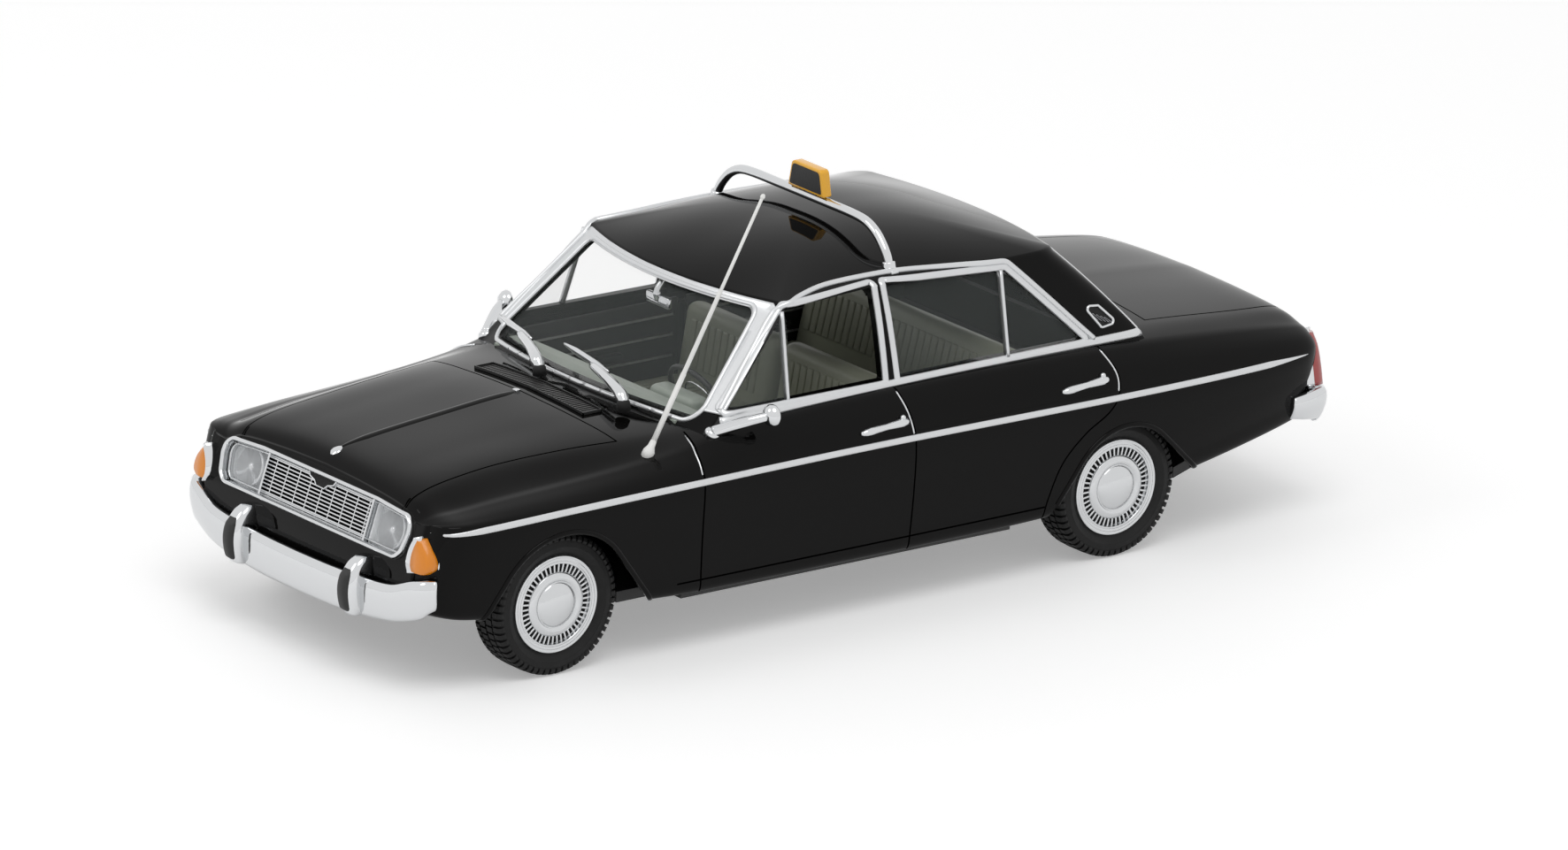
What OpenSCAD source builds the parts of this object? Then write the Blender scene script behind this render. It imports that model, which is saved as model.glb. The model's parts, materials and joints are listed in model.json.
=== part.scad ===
// Die-cast scale model of a 1960s four-door saloon taxi, about 1:43, in millimetres.
// +X is the front of the car, +Y its left side, +Z up. The origin is on the floor, at the
// middle of the bounding box.

/* [Overall] */
// Distance between the two axles
wheelbase = 62.9; // [54:0.1:76]
// Width of the body at its side strips
body_w = 39.8; // [35:0.1:48]
// Height of the roof's crown above the floor
roof_h = 32.3; // [29:0.1:39]
// Reach of the front bumper ahead of the front axle
front_overhang = 16.85; // [15:0.05:20.5]
// Reach of the rear bumper behind the rear axle
rear_overhang = 25.85; // [22:0.05:31]

/* [Body casting] */
// Thickness of the cast shell
wall = 0.9; // [0.75:0.05:1.1]
// Gap all round a tyre inside its wheel well
well_gap = 0.9; // [0.7:0.05:1.3]
// Gap between pieces that are pushed together
fit_gap = 0.05; // [0.03:0.01:0.08]

/* [Wheels] */
// Outside diameter of a tyre
tyre_d = 13.2; // [11:0.1:15]
// Width of a tyre
tyre_w = 4.0; // [3.3:0.1:4.6]
// Diameter of the wheel disc inside the tyre
rim_d = 9.1; // [7.6:0.1:10.4]
// Distance from the body's widest line in to the tyre's outer wall
tyre_inset = 1.6; // [1.4:0.05:2.2]
// Diameter of the steel axle pins
axle_d = 1.6; // [1.3:0.05:1.9]
// Radial play of an axle pin in its bearing
axle_play = 0.05; // [0.03:0.01:0.08]

/* [Base] */
// Thickness of the base plate
base_t = 1.0; // [0.8:0.05:1.2]
// Height of the base plate's underside above the floor
base_z = 4.9; // [4.6:0.05:5.4]
// Diameter of the two screw holes for a display stand
screw_d = 1.9; // [1.6:0.05:2.3]
// Depth of the screw holes
screw_depth = 2.6; // [2.2:0.1:3]

/* [Cabin and glass] */
// Thickness of the clear panes
glass_t = 0.45; // [0.35:0.05:0.6]
// Thickness of the cabin tub's walls
tub_t = 0.7; // [0.6:0.05:0.9]

/* [Fittings] */
// Thickness of the roof bar's tube
bar_d = 0.95; // [0.8:0.05:1.2]
// Height of the roof bar's top tube above the floor
bar_h = 33.4; // [33:0.1:40.5]
// Width of the taxi sign at its foot
sign_w = 5.3; // [4:0.1:8]
// Height of the taxi sign
sign_h = 2.45; // [2.2:0.05:3.3]
// Length of the aerial
aerial_l = 25.3; // [20:0.1:30]

/* [Hidden] */
$fn = 48;

// The shape below is drawn at these sizes, and the functions mx, my and mz stretch it to
// the driving dimensions.
drawn_axle = 31.45;
drawn_front = 16.85;
drawn_rear = 25.85;
drawn_w = 39.8;
drawn_roof = 32.3;
drawn_strip_z = 15.7;
function mx(n) =
    n > drawn_axle ? wheelbase / 2 + (n - drawn_axle) * front_overhang / drawn_front
    : n < -drawn_axle ? -wheelbase / 2 + (n + drawn_axle) * rear_overhang / drawn_rear
    : n * wheelbase / (2 * drawn_axle);
function my(n) = n * body_w / drawn_w;
function mz(n) =
    n < drawn_strip_z ? n
    : drawn_strip_z + (n - drawn_strip_z) * (roof_h - drawn_strip_z) / (drawn_roof - drawn_strip_z);

// The drawing's zero is halfway between the axles. This moves it to the middle of the car.
car_shift = (rear_overhang - front_overhang) / 2;
axle_z = tyre_d / 2;
tyre_y = body_w / 2 - tyre_inset - tyre_w / 2;
well_r = tyre_d / 2 + well_gap;
eps = 0.01;

module on_car() translate([car_shift, 0, 0]) children();
module both_sides() {
    children();
    mirror([0, 1, 0]) children();
}

// ---------------------------------------------------------------- curves and lofts

function tangent(p, i) =
    let (a = p[max(i - 1, 0)], b = p[i], c = p[min(i + 1, len(p) - 1)])
    (c - a) / (norm(b - a) + norm(c - b));
function hermite(a, b, ma, mb, t) =
    (2 * t^3 - 3 * t^2 + 1) * a + (t^3 - 2 * t^2 + t) * ma
    + (3 * t^2 - 2 * t^3) * b + (t^3 - t^2) * mb;
// A smooth curve through all the points, with k steps from each to the next
function smooth(p, k) = [
    for (i = [0:len(p) - 2]) let (d = norm(p[i + 1] - p[i])) for (s = [0:k - 1])
        hermite(p[i], p[i + 1], tangent(p, i) * d, tangent(p, i + 1) * d, s / k),
    p[len(p) - 1]
];
function reversed(p) = [for (i = [len(p) - 1:-1:0]) p[i]];

function middle(ring) = [for (p = ring) 1] * ring / len(ring);
function facing(ring, c) = [for (j = [0:len(ring) - 1]) 1]
    * [for (j = [0:len(ring) - 1]) cross(ring[j] - c, ring[(j + 1) % len(ring)] - c)];
// A solid through closed rings of equally many points
module loft(given) {
    ahead = middle(given[1]) - middle(given[0]);
    rings = facing(given[0], middle(given[0])) * ahead > 0 ? reversed(given) : given;
    n = len(rings[0]);
    m = len(rings);
    sides = [
        for (i = [0:m - 2]) for (j = [0:n - 1])
            let (a = i * n + j, b = i * n + (j + 1) % n, c = a + n, d = b + n)
            each [[a, b, c], [b, d, c]]
    ];
    cap = [for (j = [1:n - 2]) [0, j, j + 1]];
    near_cap = [for (t = cap) [t[0], t[2], t[1]]];
    far_cap = [for (t = cap) t + (m - 1) * n * [1, 1, 1]];
    polyhedron([for (r = rings) each r], concat(sides, near_cap, far_cap), convexity = 8);
}

// A round rod along a line of points, none of whose steps runs along the given direction.
// Its radius is one number, or a list with one for each point.
module rod(points, radius, across = [0, 0, 1]) loft([
    for (i = [0:len(points) - 1])
        let (t = tangent(points, i), u = cross(t, across) / norm(cross(t, across)),
            v = cross(t, u) / norm(t), r = is_list(radius) ? radius[i] : radius)
        [for (k = [0:rod_sides - 1]) let (a = 360 * k / rod_sides) points[i] + r * (cos(a) * u + sin(a) * v)]
]);
rod_sides = 14;

// ---------------------------------------------------------------- body form

// Rows of the lower body from nose to tail: distance along the car, lower edge, half width
// at the strip, shoulder out and up, deck edge out and up, and the deck's height amidships
body_rows = [
    [45.5, 8.3, 16.3, 14.6, 15.5, 12.5, 16.3, 17.0],
    [45.1, 7.7, 17.5, 15.2, 16.0, 12.8, 16.8, 17.6],
    [44.0, 7.2, 18.4, 15.6, 16.35, 12.9, 17.2, 18.1],
    [41.5, 6.6, 19.0, 15.8, 16.5, 12.7, 17.75, 18.5],
    [36.5, 6.2, 19.45, 16.2, 17.0, 12.5, 18.4, 19.05],
    [31.0, 5.9, 19.65, 16.4, 17.3, 12.9, 18.8, 19.55],
    [24.0, 5.4, 19.8, 16.7, 17.8, 13.5, 19.1, 20.15],
    [17.0, 5.1, 19.9, 17.0, 18.5, 13.9, 19.35, 20.3],
    [13.5, 5.05, 19.9, 17.3, 19.2, 14.2, 19.65, 20.3],
    [8.0, 5.0, 19.9, 17.6, 19.95, 14.4, 20.05, 20.3],
    [-8.0, 5.0, 19.9, 17.7, 20.3, 14.5, 20.3, 20.4],
    [-22.0, 5.1, 19.85, 17.7, 20.25, 14.5, 20.4, 20.6],
    [-33.0, 5.8, 19.7, 17.4, 19.9, 14.4, 20.4, 20.85],
    [-41.0, 7.0, 19.4, 16.9, 19.3, 14.1, 19.9, 20.5],
    [-48.0, 8.2, 18.9, 16.4, 18.6, 13.7, 19.2, 19.95],
    [-53.0, 9.1, 18.2, 15.9, 17.9, 13.3, 18.6, 19.3],
    [-54.6, 9.6, 17.5, 15.5, 17.4, 13.0, 18.0, 18.5],
    [-55.2, 10.2, 16.6, 14.9, 16.6, 12.5, 17.1, 17.5]
];

// Half of a cross-section, from the bottom amidships out and up to the deck amidships. A
// cavity's section is set in by t and open below.
function half_section(row, t, steps) =
    let (
        low = t > 0 ? -1 : row[1],
        out = row[2] - row[3],
        up = row[4] - drawn_strip_z,
        side = [
            [row[2] - 2.0, low], [row[2] - 0.85, low + 0.4], [row[2] - 0.5, low + 2.2],
            [row[2] - 0.12, (low + drawn_strip_z) / 2 + 1.2], [row[2], drawn_strip_z],
            [row[2] - 0.25 * out, drawn_strip_z + 0.52 * up], [row[2] - 0.75 * out, drawn_strip_z + 0.89 * up],
            [row[3] - 0.3, row[4] + 0.05], [row[5], row[6]],
            [row[5] * 0.55, row[7] * 0.7 + row[6] * 0.3], [0, row[7]]
        ]
    )
    concat(
        [[0, low]],
        [for (p = smooth(side, steps)) [max(p[0] - (p[0] > 0 ? t : 0), 0), p[1] - (p[1] > low + 3 ? t : 0)]]
    );
// The nose leans back above its lower lip
nose_lean = 18;
nose_lip = [45.9, 11.9];
function leaning(x, z) =
    x < 38 ? x : x - tan(nose_lean) * max(z - nose_lip[1], 0) * pow((x - 38) / 7.5, 2);
function body_ring(row, t, steps) =
    let (h = half_section(row, t, steps), x = row[0] * (1 - t * 0.024))
    concat(
        [for (p = h) [mx(leaning(x, p[1])), my(p[0]), mz(p[1])]],
        [for (i = [len(h) - 2:-1:1]) [mx(leaning(x, h[i][1])), -my(h[i][0]), mz(h[i][1])]]
    );
module lower_body(t = 0, steps = 2, along = 2)
    loft([for (row = smooth(body_rows, along)) body_ring(row, t, steps)]);

// Levels of the cabin roof: height, nose amidships, screen corner along and out, half
// width at the side, rear corner along and out, and tail amidships
roof_rows = [
    [18.6, 18.7, 15.1, 16.7, 17.75, -36.0, 17.1, -37.4],
    [20.5, 16.75, 13.1, 16.25, 17.25, -34.7, 16.7, -36.0],
    [23.3, 13.4, 10.2, 15.6, 16.55, -32.2, 15.7, -33.4],
    [26.1, 10.1, 7.3, 14.85, 15.75, -29.6, 14.4, -30.9],
    [28.7, 7.1, 4.7, 14.0, 14.85, -27.0, 13.0, -28.4]
];
outline_steps = 8;
corner_steps = 3;
side_steps = 8;
// Outline of one level, half of it from nose to tail
function level_half(r) =
    let (lead = 1.6, trail = 2.4)
    concat(
        [for (i = [0:outline_steps - 1]) let (u = i / outline_steps)
            [r[1] - (r[1] - r[2]) * u * u, r[3] * u]],
        [for (i = [0:corner_steps - 1]) let (a = 90 * i / corner_steps)
            [r[2] - lead * (1 - cos(a)), r[3] + (r[4] - r[3]) * sin(a)]],
        [for (i = [0:side_steps]) let (u = i / side_steps, y = r[4] - 0.25 * u)
            [r[2] - lead + (r[5] + trail - r[2] + lead) * u, y]],
        [for (i = [1:corner_steps]) let (a = 90 * i / corner_steps)
            [r[5] + trail * (1 - sin(a)), r[6] + (r[4] - 0.25 - r[6]) * cos(a)]],
        [for (i = [1:outline_steps]) let (u = 1 - i / outline_steps)
            [r[7] - (r[7] - r[5]) * u * u, r[6] * u]]
    );
function drawn_ring(r, t, z, shrink = 1) =
    let (h = level_half(r), mid = -9.5, full = concat(h, [for (i = [len(h) - 2:-1:1]) [h[i][0], -h[i][1]]]))
    [for (p = full) let (q = norm([p[0] - mid, p[1]]), k = shrink * (1 - t / q))
        [mx(mid + (p[0] - mid) * k), my(p[1] * k), z + 0 * p[0]]];
roof_rings_at = [0.985, 0.94, 0.86, 0.74, 0.58, 0.38, 0.16, 0.01];
// Height of the roof where its outline is shrunk to s, at the point p
function crown(s, t) = mz(29.0 + (drawn_roof - 29.0) * (1 - pow(s, 2.5))) - t;
module cabin_form(t = 0, low = 18.6) {
    top = roof_rows[len(roof_rows) - 1];
    levels = smooth(roof_rows, 2);
    loft(concat(
        low < 18.6 ? [drawn_ring(roof_rows[0], t, low)] : [],
        [for (r = levels) drawn_ring(r, t, mz(r[0]) - (r[0] > 28.6 ? t * 0.8 : 0))],
        [for (s = roof_rings_at) drawn_ring(top, t, crown(s, t), s)]
    ));
}

// Leaning plane of the cabin's side, for the openings and panes that lie in it
side_foot = [17.25, 20.5];
side_head = [14.85, 28.7];

// Openings of the side windows, seen from the side
front_opening = [[11.0, 21.5], [4.0, 28.2], [-5.0, 28.55], [-4.8, 21.4]];
rear_opening = [[-7.6, 21.35], [-7.5, 28.5], [-20.2, 27.7], [-26.8, 21.4]];
opening_r = 0.45;
post_x = 4.7;

module rounded_outline(points, r) hull() for (p = points)
    translate([mx(p[0]), mz(p[1])]) circle(r = r, $fn = 24);
// A side-view outline through one side of the car, from y0 out to y1
module through_side(y0, y1) translate([0, y1, 0]) rotate([90, 0, 0])
    linear_extrude(y1 - y0) children();

// Outline of the windscreen (front) or rear window, seen along the car, as a prism
screen_corners = [[14.75, 21.6], [13.3, 27.6]];
back_corners = [[13.85, 21.9], [10.8, 27.2]];
screen_r = 0.6;
module outlook(front, inset) translate([mx(front ? -2 : -42), 0, 0]) rotate([90, 0, 90])
    linear_extrude(mx(20) - mx(-2)) hull() for (p = front ? screen_corners : back_corners, side = [-1, 1])
        translate([side * my(p[0]), mz(p[1])]) circle(r = screen_r - inset, $fn = 24);

// Wheel arch openings in the flanks, seen from the side
module arch_outline(axle_x, top, front_leg, rear_leg, low) hull() {
    translate([axle_x, axle_z]) circle(r = top - axle_z, $fn = 64);
    translate([axle_x - rear_leg, low]) square([front_leg + rear_leg, 0.1]);
}

arch_top_front = axle_z + 7.1;
arch_top_rear = axle_z + 6.3;

// The lamp and grille opening in the nose, seen from the front
lamp_outline = [[0, 16.55], [8.6, 16.35], [13.1, 16.0], [14.0, 14.9], [13.5, 13.1], [12.2, 12.1], [0, 11.95]];
module nose_outline(grow) offset(r = grow)
    polygon(concat(
        [for (p = lamp_outline) [my(p[0]), p[1]]],
        [for (i = [len(lamp_outline) - 2:-1:1]) [-my(lamp_outline[i][0]), lamp_outline[i][1]]]
    ));
// Carries a shape drawn upright at x = 0 onto the leaning nose
module on_nose() translate([mx(nose_lip[0]), 0, nose_lip[1]]) rotate([0, -nose_lean, 0])
    translate([0, 0, -nose_lip[1]]) children();
// An outline seen from the front, from depth x0 to x1 on the nose
module through_nose(x0, x1) translate([x0, 0, 0]) rotate([90, 0, 90]) linear_extrude(x1 - x0) children();

module body_shell() color([0.01, 0.01, 0.012]) on_car() difference() {
    union() {
        lower_body();
        cabin_form();
    }
    lower_body(wall, 1, 1);
    cabin_form(wall, 8);
    outlook(true, 0);
    outlook(false, 0);
    both_sides() {
        through_side(my(11), my(21)) rounded_outline(front_opening, opening_r);
        through_side(my(11), my(21)) rounded_outline(rear_opening, opening_r);
        through_side(body_w / 2 - 3, body_w / 2 + 2) {
            arch_outline(mx(drawn_axle), arch_top_front, 10.4, 11.8, 3);
            arch_outline(mx(-drawn_axle), arch_top_rear, 10.0, 13.2, 3);
        }
        for (x = [mx(drawn_axle), mx(-drawn_axle)])
            translate([x, tyre_y + tyre_w / 2 + 0.45, axle_z])
                rotate([90, 0, 0]) cylinder(r = well_r, h = tyre_w + 1.6);
        // shallow seat for each indicator and tail lamp
        lamp_block(fit_gap, indicator_rows);
        lamp_block(fit_gap, tail_rows);
    }
    on_nose() through_nose(-3.4, 1.5) nose_outline(fit_gap);
    // seats for the cowl grille, the emblem and the plate
    cowl_block(fit_gap);
    emblem_block(fit_gap);
    plate_block(0);
    bumper_arms(1, fit_gap);
    bumper_arms(-1, fit_gap);
    both_sides() {
        rod(mirror_arm(), mirror_r + fit_gap);
        handle_posts(fit_gap);
        vent_block(fit_gap);
        translate(bar_foot() - [0, 0, 0.1 + fit_gap]) cylinder(r = bar_foot_r + fit_gap, h = 2);
    }
    for (y = wiper_y) translate(wiper_foot(y) - [0, 0, 0.4 + fit_gap]) cylinder(r = wiper_r + fit_gap, h = 2);
    aerial_socket(fit_gap);
}

// ---------------------------------------------------------------- lamps and grille

// Corner lamps: height, inner and outer edge, and how far forward the face stands
indicator_rows = [[11.7, 15.3, 17.75], [12.6, 15.35, 17.7], [13.5, 15.55, 17.2], [14.3, 15.9, 16.5]];
tail_rows = [[12.2, 15.2, 17.6], [14.0, 15.2, 17.5], [15.8, 15.3, 17.2], [16.9, 15.5, 16.6]];
function lamp_ring(r, nose, depth, side, g) =
    [for (p = [[nose - depth, r[1] - g], [nose, r[1] - g], [nose - 0.15, (r[1] + r[2]) / 2],
        [nose - 0.9, r[2] + g], [nose - depth, r[2] + g]])
        [side * p[0], my(p[1]), r[0]]];
module lamp_block(g, rows) {
    front = rows == indicator_rows;
    nose = front ? mx(45.9) : -mx(-55.8);
    rings = [for (r = rows) lamp_ring(r, nose, 2.0, front ? 1 : -1, g)];
    loft(rings);
}
module indicator(side) color([0.9, 0.42, 0.05]) on_car() mirror([0, side, 0]) lamp_block(0, indicator_rows);
module tail_lamp(side) color([0.5, 0.05, 0.03]) on_car() mirror([0, side, 0]) lamp_block(0, tail_rows);

grille_half = 8.75;
bar_count = 12;
grille_depth = 2.6;
module grille() color([0.25, 0.25, 0.25]) on_car() on_nose() {
    low = 12.35;
    high = 15.95;
    pitch = (high - low) / (bar_count - 1);
    translate([-grille_depth, -my(grille_half), low - 0.2])
        cube([0.8, 2 * my(grille_half), high - low + 0.5]);
    for (i = [0:bar_count - 1])
        translate([0.7 - grille_depth, -my(grille_half), low + i * pitch])
            cube([1.3, 2 * my(grille_half), 0.14]);
    for (i = [-4:4])
        translate([0.7 - grille_depth, i * my(grille_half) / 4.5 - 0.07, low - 0.05])
            cube([1.15, 0.14, high - low + 0.2]);
}
module lamp_surround() color("silver") on_car() on_nose() difference() {
    through_nose(-1.5, 0.1) nose_outline(0.35);
    through_nose(-1.9, 0.6) nose_outline(-0.1);
    through_nose(-1.9, -0.35) nose_outline(0.6 + fit_gap);
}
module headlamp(side) color([0.85, 0.87, 0.88]) on_car() on_nose() mirror([0, side, 0])
    intersection() {
        through_nose(-grille_depth, -0.4) nose_outline(-0.15);
        translate([-3, my(grille_half) + fit_gap, 11]) cube([4, my(6), 7]);
    }

// ---------------------------------------------------------------- bumpers

// Blade of a bumper along the car's width: how far out sideways, forward reach, lower
// edge and upper edge
front_blade = [[0, 47.4, 5.5, 9.3], [5, 47.35, 5.55, 9.35], [9.5, 47.15, 5.8, 9.5],
    [13.5, 46.9, 6.3, 9.85], [16.2, 46.5, 7.0, 10.8], [17.6, 46.1, 7.6, 11.1], [18.5, 45.4, 8.3, 11.2]];
rear_blade = [[0, 57.3, 8.1, 11.7], [6, 57.2, 8.1, 11.7], [12, 56.8, 8.3, 11.9],
    [16, 56.5, 8.5, 12.0], [18.2, 55.5, 8.8, 12.0], [19.1, 53.8, 9.1, 12.0]];
function blade_ring(b, side, depth) =
    let (x = side > 0 ? mx(b[1]) : -mx(-b[1]), mid = (b[2] + b[3]) / 2)
    [for (p = [[0, b[2]], [0.45, b[2] + 0.15], [depth, mid - 0.8], [depth, mid + 0.9], [0.55, b[3]], [0, b[3] - 0.1]])
        [side * (x - depth + p[0]), 0, p[1]]];
module blade(table, side, depth = 0.95) {
    half = smooth(table, 2);
    full = concat([for (i = [len(half) - 1:-1:1]) [-half[i][0], half[i][1], half[i][2], half[i][3]]], half);
    rings = [for (b = full) [for (p = blade_ring(b, side, depth)) [p[0], my(b[0]), p[2]]]];
    loft(rings);
}
overrider_y = 8.7;
overrider_x = 45.65;
// Arms that plug a bumper into the body
module bumper_arms(side, g) both_sides()
    translate([side > 0 ? mx(43.8) - g : mx(-56.9), my(overrider_y) - 0.9 - g, (side > 0 ? 8.6 : 10.5) - g])
        cube([(side > 0 ? mx(46.6) - mx(43.8) : mx(-53.9) - mx(-56.9)) + g, 1.8 + 2 * g, 1.1 + 2 * g]);
module pad_block(g) both_sides() translate([mx(overrider_x), my(overrider_y), 0]) hull() {
    translate([1.7 - g, -0.35 - g, 6.5 - g]) cube([0.4, 0.7 + 2 * g, 0.4]);
    translate([2.05 - g, -0.45 - g, 7.8 - g]) cube([0.58, 0.9 + 2 * g, 1.2]);
    translate([1.1 - g, -0.35 - g, 9.9 + g]) cube([0.52, 0.7 + 2 * g, 0.3]);
}
module front_bumper() color("silver") on_car() difference() {
    union() {
        blade(front_blade, 1);
        bumper_arms(1, 0);
        both_sides() translate([mx(overrider_x), my(overrider_y), 0]) hull() {
            translate([0, -0.95, 6.0]) cube([1.9, 1.9, 0.5]);
            translate([-0.1, -0.8, 10.2]) cube([1.3, 1.6, 0.5]);
            translate([0.2, -0.95, 8]) cube([2.1, 1.9, 0.8]);
        }
    }
    pad_block(fit_gap);
}
module overrider_pads() color([0.03, 0.03, 0.03]) on_car() pad_block(0);
module rear_bumper() color("silver") on_car() {
    blade(rear_blade, -1);
    bumper_arms(-1, 0);
}
plate_half = 5.8;
module plate_block(inset) translate([mx(-54.7) - 0.8 - 2 * fit_gap, -my(plate_half) + inset, 11.6 + inset])
    cube([0.8 + 2 * fit_gap - inset, 2 * my(plate_half) - 2 * inset, 3.2 - 2 * inset]);
module number_plate() color([0.92, 0.92, 0.9]) on_car() plate_block(fit_gap);

// ---------------------------------------------------------------- glass

glass_sink = 0.15;
// A pane of the cabin's own shape, filling one of the end openings
module pane(front) color([0.9, 0.95, 0.95, 0.35]) on_car() intersection() {
    difference() {
        cabin_form(glass_sink);
        cabin_form(glass_sink + glass_t);
    }
    outlook(front, fit_gap);
}
module windscreen() pane(true);
module rear_window() pane(false);
// Lays a side-view outline into the leaning side of the cabin
module in_side_plane(depth, thick) {
    lean = atan2(my(side_foot[0] - side_head[0]), mz(side_head[1]) - mz(side_foot[1]));
    stretch = 1 / cos(lean);
    translate([0, my(side_foot[0]) - depth, mz(side_foot[1])]) rotate([90 + lean, 0, 0])
        linear_extrude(thick)
            translate([0, -mz(side_foot[1]) * stretch]) scale([1, stretch]) children();
}
// The part of a side opening from x0 to x1, filled by a pane that leans with the cabin's side
module side_pane(points, x0, x1) color([0.9, 0.95, 0.95, 0.35]) on_car() both_sides() intersection() {
    through_side(my(11), my(21)) offset(delta = -fit_gap) rounded_outline(points, opening_r);
    in_side_plane(0.2, glass_t) translate([mx(x0), mz(20)]) square([mx(x1) - mx(x0), mz(30) - mz(20)]);
}
module quarter_lights() side_pane(front_opening, post_x, 14);
module rear_side_glass() side_pane(rear_opening, -28, -6);

// ---------------------------------------------------------------- cabin

tub_half = 16.4;
tub_front = 13.6;
tub_rear = -21.5;
deck_rear = -33.5;
tub_floor = 8.3;
tub_top = 19.2;
arch_deck = 14.6;
module cabin_tub() color([0.2, 0.21, 0.2]) on_car() {
    difference() {
        translate([mx(tub_rear), -my(tub_half), tub_floor])
            cube([mx(tub_front) - mx(tub_rear), 2 * my(tub_half), tub_top - tub_floor]);
        translate([mx(tub_rear) - 1, -my(tub_half) + tub_t, tub_floor + tub_t])
            cube([mx(tub_front) - mx(tub_rear) + 1 - tub_t, 2 * my(tub_half) - 2 * tub_t, 20]);
    }
    difference() {
        translate([mx(deck_rear), -my(tub_half), arch_deck])
            cube([mx(tub_rear) - mx(deck_rear) + eps, 2 * my(tub_half), tub_top - arch_deck]);
        translate([mx(deck_rear) + tub_t, -my(tub_half) + tub_t, arch_deck + tub_t])
            cube([mx(tub_rear) - mx(deck_rear), 2 * my(tub_half) - 2 * tub_t, 20]);
    }
    translate([mx(tub_rear) - tub_t, -my(tub_half), tub_floor])
        cube([tub_t + eps, 2 * my(tub_half), arch_deck - tub_floor + tub_t]);
}
// A soft block with rounded edges, standing on z = 0
module soft_block(size, r) hull()
    for (x = [r, size[0] - r], y = [r, size[1] - r], z = [r, size[2] - r])
        translate([x, y, z]) sphere(r = r, $fn = 16);
seat_gap = 0.6;
seat_w = 13.6;
module front_seats() color([0.42, 0.44, 0.38]) on_car() both_sides()
    translate([mx(-8), my(0.5), tub_floor + tub_t + fit_gap]) {
        translate([1.6, 0, 0]) soft_block([9.5, my(seat_w), 4.2], 0.8);
        translate([0.2, 0, 2.8]) rotate([0, -9, 0]) soft_block([2.2, my(seat_w), mz(20.3) - 12.5], 0.9);
    }
module rear_bench() color([0.42, 0.44, 0.38]) on_car()
    translate([0, -my(15.2), 0]) {
        translate([mx(tub_rear) + fit_gap, my(0.2), tub_floor + tub_t + fit_gap])
            soft_block([6.5, 2 * my(15), 5.0], 0.9);
        translate([mx(tub_rear) - 3.8, 0, arch_deck + tub_t + fit_gap - 0.19]) rotate([0, -14, 0])
            soft_block([2.4, 2 * my(15.2), mz(20.6) - arch_deck - tub_t - 0.5], 0.9);
    }
module dashboard() color([0.4, 0.43, 0.4]) on_car() difference() {
    translate([0, my(15.4), 0]) rotate([90, 0, 0]) linear_extrude(2 * my(15.4))
        polygon([[mx(tub_front) - tub_t - fit_gap, 14.5], [mx(10.2), 15.6], [mx(9.8), mz(18.4)],
            [mx(10.6), mz(19.1)], [mx(tub_front) - tub_t - fit_gap, mz(19.5)]]);
    at_steering() translate([0, 0, -column_l - fit_gap]) cylinder(r = column_r + fit_gap, h = column_l);
}
column_l = 3;
column_r = 0.35;
module at_steering() translate([mx(8.0), my(7.6), mz(18.6)]) rotate([0, -62, 0]) children();
module steering_wheel() color([0.07, 0.07, 0.07]) on_car() at_steering() {
    {
        rotate_extrude($fn = 120) translate([3.9, 0]) circle(r = 0.28, $fn = 80);
        cylinder(r = 0.8, h = 0.7, center = true);
        for (a = [0, 180]) rotate([0, 0, a + 90]) translate([0, -0.22, -0.18]) cube([3.8, 0.44, 0.36]);
        translate([0, 0, -column_l]) cylinder(r = column_r, h = column_l);
    }
}
module cabin_mirror() color("silver") on_car() translate([mx(5.4), 0, mz(27.4)]) {
    translate([-0.6, -1.6, -1.0]) cube([0.5, 3.2, 0.9]);
    translate([-0.5, -0.2, -0.4]) cube([0.5, 0.4, mz(28.9) - mz(27.4)]);
}

// ---------------------------------------------------------------- outside fittings

module cowl_block(g) translate([mx(cowl_x) - g, -my(8.2) - g, mz(19.7) - g])
    cube([mx(21.6) - mx(cowl_x) + 2 * g, 2 * my(8.2) + 2 * g, mz(20.42) - mz(19.7) + 0.6 * (g > 0 ? 1 : 0)]);
cowl_x = 19.5;
module cowl_grille() color([0.02, 0.02, 0.02]) on_car() cowl_block(0);
module bonnet_emblem() color("silver") on_car()
    emblem_block(0);
// Tapered block let into the bonnet's front, grown by g for its pocket
module emblem_block(g) translate([mx(42.5), 0, mz(17.98)]) rotate([0, 14, 0]) hull() {
    translate([0.3, 0, -g]) cylinder(r = 0.35 + g, h = 0.5 + 2 * g);
    translate([-1.6, 0, -g]) cylinder(r = 0.15 + g, h = 0.5 + 2 * g);
}
// One wiper: pivot boss, arm and blade
wiper_y = [9.6, -2.2];
wiper_r = 0.55;
function wiper_foot(y) = [mx(18.65), my(y), mz(20.15)];
module wiper(y) color("silver") on_car() {
    translate(wiper_foot(y) - [0, 0, 0.4]) cylinder(r = wiper_r, h = 1);
    rod([wiper_foot(y) + [0, 0, 0.3], [mx(17.4), my(y - 0.9), mz(21.35)], [mx(14.9), my(y - 5.3), mz(23.5)]], 0.26);
}
mirror_r = 0.42;
function mirror_arm() = [[mx(13.6), my(17.2), mz(19.15)], [mx(11.6), my(19.0), mz(20.6)], [mx(9.5), my(20.0), mz(20.9)]];
module door_mirror(side) color("silver") on_car() mirror([0, side, 0]) {
    rod(mirror_arm(), mirror_r);
    translate(mirror_arm()[2]) rotate([0, -90, 12]) cylinder(r1 = 1.05, r2 = 1.2, h = 0.5, center = true);
}
handle_x = [-3.6, -26.4];
module handle_posts(g) for (x = handle_x, d = [-2.3, 2.3])
    translate([mx(x) + d - 0.3 - g, my(19.55) - 0.5 - g, 17.25 - g]) cube([0.6 + 2 * g, 1.0, 0.5 + 2 * g]);
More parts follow.
